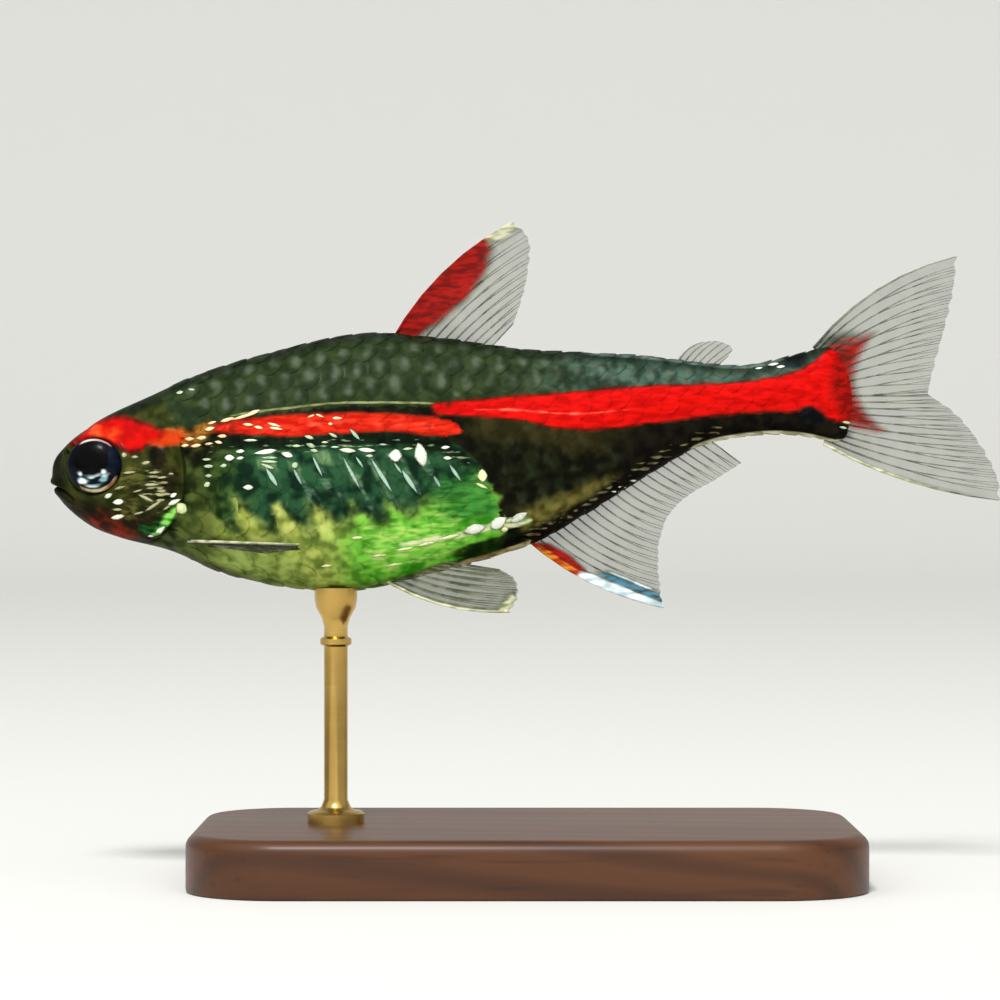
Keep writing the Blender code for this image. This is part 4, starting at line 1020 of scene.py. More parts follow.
def painted(name, dark, light, layers, roughness, coat):
    """A skin or film whose colours are laid over each other in layers, under a thin wet gloss."""
    material, tree, shader = new_material(name)
    patterns, tones = skin_patterns(tree)
    paint = add(
        tree, "ShaderNodeMix", {0: tones["mottle"], 6: colour(dark), 7: colour(light)}, 2,
        data_type="RGBA",
    )
    gleam = None
    for marking, broken_by, break_up, low, high, cover, toned_by, dark, light, metallic in layers:
        mask = read_marking(tree, marking)
        broken = add(
            tree, "ShaderNodeMath", {0: patterns[broken_by], 1: break_up * 2, 2: mask},
            operation="MULTIPLY_ADD",
        )
        edge = {
            "Value": broken, "From Min": low + break_up, "From Max": high + break_up, "To Max": cover,
        }
        share = add(tree, "ShaderNodeMapRange", edge, interpolation_type="SMOOTHSTEP")
        on_marking = add(tree, "ShaderNodeMath", {0: mask, 1: 0.02}, operation="GREATER_THAN")
        share = add(tree, "ShaderNodeMath", {0: share, 1: on_marking}, operation="MULTIPLY")
        tone = add(
            tree, "ShaderNodeMix", {0: tones[toned_by], 6: colour(dark), 7: colour(light)}, 2,
            data_type="RGBA",
        )
        paint = add(tree, "ShaderNodeMix", {0: share, 6: paint, 7: tone}, 2, data_type="RGBA")
        under = 0.0 if gleam is None else gleam
        gleam = add(tree, "ShaderNodeMix", {0: share, 2: under, 3: metallic}, data_type="FLOAT")
    rough = {
        "Value": patterns["fine"], "From Min": 0.3, "From Max": 0.7,
        "To Min": roughness - 0.07, "To Max": roughness + 0.07,
    }
    bump = {"Height": patterns["fine"], "Strength": 0.08, "Distance": 0.03 * MM}
    fill(tree, shader, {
        "Base Color": paint, "Metallic": gleam, "Roughness": add(tree, "ShaderNodeMapRange", rough),
        "Normal": add(tree, "ShaderNodeBump", bump), "IOR": 1.36, "Specular IOR Level": 0.08,
        "Coat Weight": coat, "Coat IOR": 1.34, "Coat Roughness": 0.12,
    })
    return material


def pearly_and_glint(name, dark, light):
    """Guanine crystals in the skin and painted highlights: pale plates that shine like leaf metal and
    fade towards their rims.
    """
    material, tree, shader = new_material(name)
    shine = add(tree, "ShaderNodeAttribute", out=2, attribute_name="shine")
    place = add(tree, "ShaderNodeTexCoord", out=3)
    crystals = {"Vector": place, "Scale": 1 / (CRYSTAL_PATCH * MM), "Detail": 1.0}
    patchy = add(tree, "ShaderNodeTexNoise", crystals)
    uneven = {"Value": patchy, "From Min": 0.3, "From Max": 0.7, "To Min": -0.2, "To Max": 0.2}
    tone = add(tree, "ShaderNodeMath", {0: shine, 1: add(tree, "ShaderNodeMapRange", uneven)})
    plate = add(
        tree, "ShaderNodeMix", {0: tone, 6: colour(dark), 7: colour(light)}, 2, data_type="RGBA"
    )
    fill(tree, shader, {"Base Color": plate, "Roughness": 0.32, "Metallic": 0.15})
    return material


def fin_material(name, dark, light):
    """Clear fin film or its rays: see-through where the marking "solid" is low."""
    material = painted(name, dark, light, FIN_PAINT, 0.38, 0.15)
    tree = material.node_tree
    solid = add(tree, "ShaderNodeAttribute", out=2, attribute_name="solid")
    fill(tree, tree.nodes["Principled BSDF"], {"Alpha": solid})
    return material


def oiled_walnut():
    """Planed and oiled walnut: brown with dark growth lines along the base and fine open pores."""
    material, tree, shader = new_material("oiled_walnut")
    place = add(tree, "ShaderNodeTexCoord", out=3)
    laid = add(tree, "ShaderNodeMapping", {"Vector": place, "Scale": (0.12, 1.0, 1.0)})
    growth = {"Vector": laid, "Scale": 1 / (GROWTH_DRIFT * MM), "Detail": 3.0}
    drift = add(tree, "ShaderNodeTexNoise", growth)
    rings = add(
        tree, "ShaderNodeTexWave",
        {
            "Vector": laid, "Scale": 1 / (GROWTH_RING * MM), "Distortion": 7.0, "Detail": 2.0,
            "Detail Scale": 0.6,
        },
        bands_direction="DIAGONAL",
    )
    pores = add(tree, "ShaderNodeMapping", {"Vector": place, "Scale": (0.06, 1.0, 1.0)})
    open_pores = {"Vector": pores, "Scale": 1 / (OPEN_PORE * MM), "Detail": 1.0}
    pores = add(tree, "ShaderNodeTexNoise", open_pores)
    ring_share = add(tree, "ShaderNodeMapRange", {"Value": rings, "From Min": 0.35, "To Max": 0.45})
    pore_share = add(
        tree, "ShaderNodeMapRange", {"Value": pores, "From Min": 0.6, "From Max": 0.75, "To Max": 0.3}
    )
    wood = colour("#3a1d0c")
    for share, tone in ((drift, "#6a4022"), (ring_share, "#2a170d"), (pore_share, "#170c06")):
        wood = add(tree, "ShaderNodeMix", {0: share, 6: wood, 7: colour(tone)}, 2, data_type="RGBA")
    rough = add(tree, "ShaderNodeMapRange", {"Value": drift, "To Min": 0.34, "To Max": 0.5})
    bump = add(
        tree, "ShaderNodeBump", {"Height": pores, "Strength": 0.25, "Distance": 0.02 * MM},
        invert=True,
    )
    fill(tree, shader, {
        "Base Color": wood, "Roughness": rough, "Normal": bump, "Specular IOR Level": 0.3,
        "Coat Weight": 0.08, "Coat Roughness": 0.25,
    })
    return material


def turned_brass():
    """Lacquered turned brass: warm metal with fine rings left by the lathe."""
    material, tree, shader = new_material("turned_brass")
    place = add(tree, "ShaderNodeTexCoord", out=3)
    laid = add(tree, "ShaderNodeMapping", {"Vector": place, "Scale": (0.05, 0.05, 1.0)})
    turned = {"Vector": laid, "Scale": 1 / (LATHE_RING * MM), "Detail": 2.0}
    lathe = add(tree, "ShaderNodeTexNoise", turned)
    patches = {"Vector": place, "Scale": 1 / (TARNISH_PATCH * MM), "Detail": 3.0}
    tarnish = add(tree, "ShaderNodeTexNoise", patches)
    metal = add(
        tree, "ShaderNodeMix", {0: tarnish, 6: colour("#a8813f"), 7: colour("#d9b869")}, 2,
        data_type="RGBA",
    )
    rough = add(tree, "ShaderNodeMapRange", {"Value": lathe, "To Min": 0.2, "To Max": 0.3})
    bump = add(tree, "ShaderNodeBump", {"Height": lathe, "Strength": 0.05, "Distance": 0.01 * MM})
    fill(tree, shader, {"Base Color": metal, "Roughness": rough, "Normal": bump, "Metallic": 1.0})
    return material


# Body

def mouth_place(s, h):
    """How far along the mouth a point lies, from 0 in front to 1 at the corner, and how far above it."""
    front, corner = np.array(MOUTH_FRONT), np.array(MOUTH_CORNER)
    reach = np.linalg.norm(corner - front)
    along = (corner - front) / reach
    share = ((s - front[0]) * along[0] + (h - front[1]) * along[1]) / reach
    above = -(s - front[0]) * along[1] + (h - front[1]) * along[0]
    bow = MOUTH_BOW * np.sin(np.pi * np.clip(share, 0.0, 1.0))
    return share, above - bow


def form(away, beyond, width, height):
    """A ridge or groove of the skin, some way beyond an edge that is this far away."""
    return height * hill(away - beyond, width)


def head_relief(s, h):
    """How far the head's skin stands out from the plain body, in millimetres."""
    eye = eye_distance(s, h) - EYE_RADIUS
    out = form(eye, *EYE_RIM) + form(eye, *EYE_GROOVE) - SOCKET_DEPTH * rise(eye, 0.06, -0.3)

    share, above = mouth_place(s, h)
    lips = form(above, *UPPER_LIP) + form(above, *LOWER_LIP) + form(above, *MOUTH_SLIT)
    out += rise(share, 1.12, 0.85) * lips
    out += stretch(share, 0.75, 0.95, 1.5, 1.9) * form(above, *JAW_BONE)

    for nostril_s, nostril_h, radius in NOSTRILS:
        away = np.hypot(s - nostril_s, h - nostril_h)
        out += form(away - radius, *NOSTRIL_RIM) - NOSTRIL_DEPTH * rise(away, radius, radius * 0.4)

    ridge = np.hypot(s - CHEEK_RIDGE_CENTRE[0], (h - CHEEK_RIDGE_CENTRE[1]) * 0.8) - CHEEK_RIDGE_RADIUS
    cheek = form(ridge, *CHEEK_RIDGE) + form(ridge, *CHEEK_GROOVE)
    out += rise(s, 2.2, 3.0) * rise(h, 0.95, 0.4) * cheek

    across = (s - GILL_COVER_CENTRE[0]) / GILL_COVER_HALF[0]
    up = (h - GILL_COVER_CENTRE[1]) / GILL_COVER_HALF[1]
    cover = np.hypot(across, up) - 1
    out += COVER_HEIGHT * rise(cover, 0.06, -0.1) + form(cover, *COVER_GROOVE)

    edge = gill_distance(s, h)
    open_part = rise(h, 2.1, 1.3) * rise(h - belly_height(s), 0.08, 0.45)
    out += open_part * GILL_EDGE_HEIGHT * stretch(edge, -0.02, 0.06, 0.2, 1.6)
    slit = np.exp(-np.maximum(-edge, 0) / GILL_SLIT_REACH) * rise(edge, 0.05, -0.03)
    out -= open_part * GILL_SLIT_DEPTH * slit
    return out * rise(s, *HEAD_FORMS_END)


def make_skin(material):
    """The whole skin as one closed surface, with the head's forms and a wedge into the tail fin."""
    bm = bmesh.new()
    bmesh.ops.create_grid(bm, x_segments=SKIN_SIDES, y_segments=SKIN_RINGS, size=1.0)
    mesh = mesh_from(bm, "skin")
    sheet = read_points(mesh)
    angle = sheet[:, 0] * np.pi
    ring = (sheet[:, 1] + 1) / 2 * SKIN_RINGS
    share = np.clip(ring / (SKIN_RINGS - WEDGE_RINGS), 0.0, 1.0)
    s = BODY_LENGTH * sum(weight * share**power for weight, power in RING_SPACING)
    points = skin_points(s, angle)
    wedge = np.clip((ring - SKIN_RINGS + WEDGE_RINGS) / WEDGE_RINGS, 0.0, 1.0)
    points[:, 0] += WEDGE_LENGTH * wedge * tail_bulge(points[:, 2])
    points[:, 1] *= 1 - wedge**WEDGE_TAPER
    write_points(mesh, points)
    face_outwards(mesh)
    points = read_points(mesh)
    relief = head_relief(points[:, 0], points[:, 2])
    shaped = points + read_normals(mesh) * relief[:, None]
    store(mesh, body_markings(shaped))
    write_points(mesh, to_world(shaped))
    nodes = ("head", "trunk", "tail_stalk", "gill_cover_left", "gill_cover_right")
    show(mesh, "wet_skin", material, nodes)


def eye_markings(ds, dh):
    """An eye's markings, by the place from its middle in the side view."""
    out = np.hypot(ds, dh)
    low_arc = rise(dh, -0.35, -0.7)
    behind, above = ds - GLEAM_MIDDLE[0], dh - GLEAM_MIDDLE[1]
    around, away = np.degrees(np.arctan2(behind, -above)), np.hypot(behind, above)
    gleam = np.zeros(ds.shape)
    for at, spread, reach, depth, strength in IRIS_GLEAM:
        gleam = np.maximum(gleam, strength * hill(around - at, spread) * hill(away - reach, depth))
    return {
        "eye_navy": rise(ds, -0.1, 0.7) * rise(dh, -0.7, 0.0),
        "pupil": rise(np.hypot(ds - PUPIL_MIDDLE[0], dh - PUPIL_MIDDLE[1]), *PUPIL_EDGE),
        "iris_gleam": gleam,
        "iris_gold": hill(out - 1.04, 0.07) * low_arc * rise(ds, -0.85, -0.5),
        "iris_rose": hill(out - 1.07, 0.06) * low_arc * rise(ds, 0.1, 0.5),
        # Painted reflection along the top edge of the eye
        "eye_top_reflection": hill(out - 1.1, 0.045) * rise(dh, 0.6, 0.9) * rise(ds, -0.7, -0.3),
        "eye_edge": rise(out, 1.12, 1.17),
    }


def make_eyes(material):
    """The eyeballs, each a flattened dome in its socket."""
    s, h = EYE_CENTRE
    for side, word in ((1, "right"), (-1, "left")):
        outwards = Vector((-math.sin(math.radians(EYE_FORWARD_DEG)), side, EYE_UPWARD)).normalized()
        turn = outwards.to_track_quat("Z", "Y").to_matrix().to_4x4()
        place = Matrix.Translation((s, side * (float(flank(s, h)) - EYE_SINK), h))
        bm = bmesh.new()
        bmesh.ops.create_uvsphere(
            bm, u_segments=EYE_SIDES, v_segments=EYE_SIDES * 2 // 3, radius=EYE_RADIUS
        )
        flat = Matrix.Diagonal((1.0, 1.0, EYE_DEPTH / EYE_RADIUS, 1.0))
        bmesh.ops.transform(bm, matrix=place @ turn @ flat, verts=bm.verts)
        mesh = mesh_from(bm, "eye")
        points = read_points(mesh)
        store(mesh, {"fish": points, **eye_markings(points[:, 0] - s, points[:, 2] - h)})
        write_points(mesh, to_world(points))
        show(mesh, "eye_ball_" + word, material, ("eye_" + word,))


# Scales

def flat_skin():
    """The skin's points as a function of the station and of the distance round it from the widest
    level, with a row of stations and both ends of that distance at each of them."""
    stations = np.linspace(FIRST_SCALE - SCALE_STEP, BODY_LENGTH, FLAT_STATIONS)
    arcs = np.linspace(-LONGEST_ARC, LONGEST_ARC, FLAT_ARCS)
    angles = np.radians(np.linspace(-90.0, 90.0, FLAT_ARCS))
    table, ends = [], []
    for station in stations:
        ring = skin_points(np.full(angles.shape, station), angles)
        length = np.concatenate([[0.0], np.cumsum(np.linalg.norm(np.diff(ring, axis=0), axis=1))])
        length -= length[len(angles) // 2]
        table.append(np.interp(arcs, length, angles))
        ends.append((length[0], length[-1]))
    table = np.array(table)

    def on_skin(s, a):
        at = np.clip(s, stations[0], stations[-1])
        i = np.clip((at - stations[0]) / (stations[1] - stations[0]), 0, len(stations) - 1.001)
        j = np.clip((a - arcs[0]) / (arcs[1] - arcs[0]), 0, len(arcs) - 1.001)
        i0, j0 = i.astype(int), j.astype(int)
        front = table[i0, j0] + (table[i0, j0 + 1] - table[i0, j0]) * (j - j0)
        rear = table[i0 + 1, j0] + (table[i0 + 1, j0 + 1] - table[i0 + 1, j0]) * (j - j0)
        found = skin_points(at, front + (rear - front) * (i - i0))
        found[..., 0] = s
        reach = np.maximum(WEDGE_LENGTH * tail_bulge(found[..., 2]), 0.01)
        wedge = np.clip((s - BODY_LENGTH) / reach, 0.0, 1.0)
        found[..., 1] *= 1 - wedge**WEDGE_TAPER
        return found

    return on_skin, stations, np.array(ends)


def scale_size(s):
    """The size of the scales at a station, smaller towards the tail."""
    return 1 - SCALE_SHRINK * float(rise(s, SCALE_SHRINK_FROM, BODY_LENGTH))


def scale_sites(on_skin, stations, ends):
    """Each scale's station, distance round the body and size, in rows whose places alternate."""
    places = [FIRST_SCALE]
    while places[-1] < SCALES_END:
        places.append(places[-1] + SCALE_STEP / 2 * scale_size(places[-1]))
    sites = []
    for row in range(-SCALE_ROWS, SCALE_ROWS + 1):
        for s in places[row % 2 :: 2]:
            size = scale_size(s)
            a = row * ROW_STEP * size
            low, high = np.interp(s, stations, ends[:, 0]), np.interp(s, stations, ends[:, 1])
            if low - 0.1 < a < high + 0.1 and s < SCALES_END:
                sites.append((s, a, size))
    sites = np.array(sites)
    centres = on_skin(sites[:, 0], sites[:, 1])
    last = BODY_LENGTH - SCALES_BEFORE_WEDGE_END + WEDGE_LENGTH * tail_bulge(centres[:, 2])
    ahead = gill_distance(centres[:, 0], centres[:, 2]) > -SCALES_BEHIND_GILL
    return sites[~(ahead | (sites[:, 0] > last))]


def skin_normals(on_skin, s, a):
    """The way out of the skin, straight up or down on its ridges, where the skin can't be measured."""
    step = 0.04
    round_body = on_skin(s, a + step) - on_skin(s, a - step)
    normal = np.cross(round_body, on_skin(s + step, a) - on_skin(s - step, a))
    length = np.linalg.norm(normal, axis=-1, keepdims=True)
    ridge = np.stack([np.zeros_like(s), np.zeros_like(s), np.sign(a)], axis=-1)
    normal = np.where(length > 1e-7, normal / np.maximum(length, 1e-9), ridge)
    return normal * np.where(normal[..., 1:2] < -1e-6, -1.0, 1.0)


def scale_markings(points, x, y):
    """The body's markings on the scales, with each scale's own pale spot and a dark rim of painted shade
    along its edge, stronger over the back's dark net.
    """
    markings = body_markings(points, foremost=-GILL_SOFTNESS)
    on_back = rise(points[:, 2] - back_edge(points[:, 0]), -0.1, 0.3)
    spot = [(x - SPOT_CENTRE) / SPOT_HALF[0], y / SPOT_HALF[1], 3 * (1 - on_back)]
    markings["scale_spot"] = np.stack(spot, axis=-1)
    # Dark rim: painted shade along every scale's edge, stronger on the back where it is also the dark
    # net
    rim = np.clip((np.hypot(x, y) - RIM_START) / (1 - RIM_START), 0, 1)
    markings["scale_rim_net_and_shade"] = rim * (0.22 + 0.4 * on_back)
    return markings


def add_bake_map(mesh, sites, x, y, side):
    """A patch of its own for each scale, in a map named OFBake, to bake its colours in."""
    corners_each = len(x) // len(sites)
    root_u = BAKE_MARGIN + (1 - 2 * BAKE_MARGIN) * np.repeat(sites[:, 0], corners_each) / SCALES_END
    root_v = 0.5 - 0.25 * side + np.repeat(sites[:, 1], corners_each) / BAKE_HEIGHT
    bake = np.stack([root_u, root_v], axis=-1) + BAKE_PATCH / 2 * np.stack([x, y], axis=-1)
    corners = np.empty(len(mesh.loops), dtype=np.int32)
    mesh.loops.foreach_get("vertex_index", corners)
    patch_map = mesh.uv_layers.new(name="OFBake")
    patch_map.data.foreach_set("uv", bake[corners].astype(np.float32).ravel())


def make_scales(material):
    """Overlapping scales in rows along each flank, each a thin lens whose front dips under the next."""
    on_skin, stations, ends = flat_skin()
    sites = scale_sites(on_skin, stations, ends)
    template = round_lens(SCALE_SIDES)
    draw = np.random.default_rng(7)
    for side, word in ((1, "right"), (-1, "left")):
        mesh = copies(template, len(sites))
        lens = read_points(mesh).reshape(len(sites), -1, 3)
        x, y, z = lens[..., 0], lens[..., 1], lens[..., 2]
        size = sites[:, 2:3] * (1 + SIZE_SPREAD * draw.standard_normal((len(sites), 1)))
        tilt = SCALE_TILT * (1 + TILT_SPREAD * draw.standard_normal((len(sites), 1)))
        roll = ROLL_SPREAD * draw.standard_normal((len(sites), 1))
        s = sites[:, 0:1] + x * SCALE_LENGTH / 2 * size
        a = sites[:, 1:2] + y * SCALE_WIDTH / 2 * size * (1 - SCALE_TAPER * x)
        lift = SCALE_LIFT + tilt * x + roll * y + z * SCALE_THICKNESS / 2
        lift -= SCALE_DIP * np.clip(SCALE_DIP_START - x, 0, 1)
        points = on_skin(s, a) + skin_normals(on_skin, s, a) * lift[..., None]
        points = (points * [1, side, 1]).reshape(-1, 3)
        store(mesh, scale_markings(points, x.ravel(), y.ravel()))
        add_bake_map(mesh, sites, x.ravel(), y.ravel(), side)
        write_points(mesh, to_world(points))
        if side > 0:
            mesh.flip_normals()
        show(mesh, "scales_" + word, material, sharp_deg=60)


def make_flecks(places, name, material):
    """Small bright plates, guanine and painted highlights, that lie flat on the skin and scales, each a
    thin pointed lens.
    """
    template = round_lens(FLECK_SIDES)
    centre_s, centre_h, half_length, half_height, tilt_deg = np.array(places).T[:, :, None]
    brightness = 0.95 + 0.2 * np.sin(37 * centre_s + 11 * centre_h)
    tilt = np.radians(tilt_deg)
    for side, word in ((1, "right"), (-1, "left")):
        mesh = copies(template, len(places))
        lens = read_points(mesh).reshape(len(places), -1, 3)
        along = lens[..., 0] * half_length
        pointed = np.sqrt(np.clip(1 - lens[..., 0] ** 2, 0, 1))
        lopsided = 1 + 0.3 * np.sin(7 * centre_s) * lens[..., 0]
        across = lens[..., 1] * pointed * lopsided * half_height * FLECK_WIDENING
        s = centre_s + along * np.cos(tilt) - across * np.sin(tilt)
        h = centre_h + along * np.sin(tilt) + across * np.cos(tilt)
        edge = gill_distance(centre_s, centre_h)
        relief = head_relief(s, h)
        crest = relief.max(axis=1, keepdims=True) + GILL_BRIDGE_LIFT
        relief += (crest - relief) * hill(edge, GILL_BRIDGE_REACH)
        lift = FLECK_LIFT + (HEAD_FLECK_LIFT - FLECK_LIFT) * rise(edge, -0.3, 0.0) + relief
        out = flank(s, h) + lift + lens[..., 2] * FLECK_THICKNESS / 2
        store(mesh, {"shine": (brightness * (0.3 + 0.8 * np.abs(lens[..., 2]))).ravel()})
        write_points(mesh, to_world(np.stack([s, side * out, h], axis=-1).reshape(-1, 3)))
        face_outwards(mesh)
        show(mesh, name + "_" + word, material)


def make_all_flecks():
    # Plates of guanine, many of them also painted highlights where light glints on the body
    for places, name, dark, light in (
        (HEAD_SILVER + SILVER_FLECKS, "silver", "#7c8c5e", "#fcfff0"),
        (MINT_FLECKS, "mint", "#2c4a2c", "#bcd2a8"),
        (HEAD_OLIVE, "olive", "#2c2c14", "#b8b48a"),
        (GOLD_FLECKS, "gold", "#8a3c18", "#fcdca4"),
        (YELLOW_FLECKS, "yellow", "#4a8420", "#f8fac0"),
        (RIB_LINES, "rib", "#173a28", "#a8ccb4"),
    ):
        make_flecks(places, name + "_flecks", pearly_and_glint(name + "_guanine_and_glints", dark, light))


# Fins

def midline(points):
    """Points of the fish's middle plane, as (s, y, h)."""
    return [(s, 0.0, h) for s, h in points]


def fin_surface(root, margin, bow, swing, sink):
    """A fin's surface as a function: place runs from its front ray to its last, out from root to tip."""
    even = np.linspace(0.0, 1.0, EDGE_SAMPLES)
    roots, tips = resample(root, EDGE_SAMPLES), resample(margin, EDGE_SAMPLES)

    def surface(place, out):
        place, out = np.broadcast_arrays(place, out)
        start = np.stack([np.interp(place, even, roots[:, i]) for i in range(3)], -1) - sink
        end = np.stack([np.interp(place, even, tips[:, i]) for i in range(3)], -1)
        ray = end - start
        sideways = np.stack([-ray[..., 2], np.zeros(place.shape), ray[..., 0]], -1)
        sideways /= np.linalg.norm(sideways, axis=-1, keepdims=True)
        bend = bow * np.clip(1 - place, 0, 1) ** BOW_CROWDING * 4 * out * (1 - out)
        found = start + ray * out[..., None] + sideways * bend[..., None]
        found[..., 1] += swing * out * out * np.sin(np.pi * (SWING_START + SWING_TURNS * place))
        return found

    return surface


def fin_strands(rays, forks):
    """Each ray and its branches, as the place and the distance out at both ends and both radii."""
    strands = []
    step = 1 / (rays - 1)
    for ray in range(rays):
        place = ray * step
        if ray == 0 or forks == 0:
            strands.append((place, place, 0.0, 0.99, *(PLAIN_RAY if ray else LEADING_RAY)))
            continue
        strands.append((place, place, 0.0, 0.5, *RAY_STEM))
        for way in (-1, 1):
            tip = min(max(place + way * BRANCH_SPREAD * step, 0.004), 0.996)
            if forks == 1:
                strands.append((place, tip, 0.48, 0.985, *LONG_BRANCH))
                continue
            strands.append((place, tip, 0.48, 0.74, *SHORT_BRANCH))
            for small in (-1, 1):
                end = min(max(tip + small * TWIG_SPREAD * step, 0.002), 0.998)
                strands.append((tip, end, 0.73, 0.99, *TWIG))
    return np.array(strands)


def fin_markings(name, points, place, out):
    """A fin's colours, with a painted highlight and a painted shadow band on the pectoral fin, and how
    solid its film is.
    """
    s, h = points[:, 0], points[:, 2]
    none = np.zeros(place.shape)
    names = ("tail_red", "fin_red", "fin_orange", "fin_blue", "fin_white", "fin_pale_and_highlight", "fin_shadow_band")
    fields = {"fish": points, "fin_dusk": rise(out, 0.4, 0.0), **{field: none for field in names}}
    dusky = none
    if name == "dorsal_fin":
        reach = np.interp(out, *DORSAL_RED)
        fields["fin_red"] = rise(reach - place, -0.06, 0.1)
        fields["fin_pale_and_highlight"] = rise(place, 0.16, 0.02) * rise(out, 0.76, 0.88)
    elif name.startswith("tail"):
        red = inside_band(s, h, rear_bottom, rear_top, TAIL_RED_START, fan_end(h), 0.3)
        fields["tail_red"] = np.clip(red, 0, 1)
        dusky = flecks(s, h, TAIL_DUSK)
        fields["fin_dusk"] = np.maximum(fields["fin_dusk"], dusky)
        if "lower" in name:
            fields["fin_pale_and_highlight"] = rise(place, 0.03, 0.008) * rise(out, 1.0, 0.4)
    elif name == "anal_fin":
        reach = np.interp(out, *ANAL_RED)
        fields["fin_red"] = rise(reach - place, -0.02, 0.015)
        fields["fin_orange"] = rise(place, 0.04, 0.015) * rise(out, 0.52, 0.42)
        spear = np.interp(out, *ANAL_WHITE)
        fields["fin_white"] = rise(place - spear, 0.015, -0.01) * rise(out, 0.38, 0.46)
        fields["fin_blue"] = hill(place - spear - 0.025, 0.02) * rise(out, 0.5, 0.6)
        second = hill(place - spear - 0.055, 0.008) * stretch(out, 0.55, 0.65, 0.9, 1.0)
        fields["fin_white"] = np.maximum(fields["fin_white"], second)
    elif name.startswith("pelvic"):
        fields["fin_pale_and_highlight"] = rise(place, 0.05, 0.01) + rise(out, 0.9, 0.97) * rise(place, 0.45, 0.2)
    elif name.startswith("pectoral"):
        # The pectoral fin, seen edge-on: a painted highlight along its front ray and a painted shadow
        # band behind it
        fields["fin_pale_and_highlight"] = hill(place - 0.03, 0.05)
        fields["fin_shadow_band"] = hill(place - 0.3, 0.2)
    coloured = np.maximum.reduce([
        fields["tail_red"], fields["fin_red"], fields["fin_white"], fields["fin_blue"],
        fields["fin_pale_and_highlight"] * 0.7, fields["fin_shadow_band"],
    ])
    film = FILM_SOLIDITY + 0.12 * fields["fin_dusk"] + 0.4 * np.clip(dusky, 0, 1)
    fields["solid"] = film + (COLOURED_SOLIDITY - film) * np.clip(coloured, 0, 1)
    return fields


def make_film(name, surface, rays, material):
    """A fin's clear film, notched between the tips of its rays."""
    bm = bmesh.new()
    bmesh.ops.create_grid(
        bm, x_segments=(rays - 1) * FILM_CELLS[0], y_segments=FILM_CELLS[1], size=1.0
    )
    mesh = mesh_from(bm, name)
    sheet = read_points(mesh)
    place, out = (sheet[:, 0] + 1) / 2, (sheet[:, 1] + 1) / 2
    depth, turn = MARGIN_WAVE
    notches = NOTCH_DEPTH * np.sin(np.pi * place * (rays - 1)) ** 2
    points = surface(place, out * (1 - notches - depth * np.sin(place * turn) ** 2))
    store(mesh, fin_markings(name, points, place, out))
    write_points(mesh, to_world(points))
    piece = show(mesh, name + "_film", material, (name,))
    shell = piece.modifiers.new("film", "SOLIDIFY")
    shell.thickness = FILM_THICKNESS * MM
    shell.offset = 0.0


def make_rays(name, surface, strands, material):
    """The bony rays inside a fin's film, as tubes that thin out along its surface."""
    bm = bmesh.new()
    bmesh.ops.create_cone(
        bm, cap_ends=True, segments=RAY_SIDES, radius1=1.0, radius2=1.0, depth=2.0
    )
    long_edges = [e for e in bm.edges if abs(e.verts[0].co.z - e.verts[1].co.z) > 1.0]
    bmesh.ops.subdivide_edges(bm, edges=long_edges, cuts=RAY_CUTS)
    mesh = copies(mesh_from(bm, "ray"), len(strands))
    tube = read_points(mesh).reshape(len(strands), -1, 3)
    run = (tube[..., 2] + 1) / 2
    place = strands[:, 0:1] + (strands[:, 1:2] - strands[:, 0:1]) * run**0.8
    out = strands[:, 2:3] + (strands[:, 3:4] - strands[:, 2:3]) * run
    radius = (strands[:, 4:5] + (strands[:, 5:6] - strands[:, 4:5]) * run)[..., None]
    across = surface(place + 0.004, out) - surface(place - 0.004, out)
    forward = surface(place, np.minimum(out + 0.01, 1.0)) - surface(place, out - 0.01)
    normal = np.cross(across, forward)
    across = np.cross(forward, normal)
    normal /= np.linalg.norm(normal, axis=-1, keepdims=True)
    across /= np.linalg.norm(across, axis=-1, keepdims=True)
    points = surface(place, out) + (across * tube[..., 0:1] + normal * tube[..., 1:2]) * radius
    points = points.reshape(-1, 3)
    fields = fin_markings(name, points, place.ravel(), out.ravel())
    fields["solid"] = np.clip(fields["solid"] + RAY_SOLIDITY, 0, 1)
    store(mesh, fields)
    write_points(mesh, to_world(points))
    face_outwards(mesh, weld=False)
    show(mesh, name + "_rays", material)


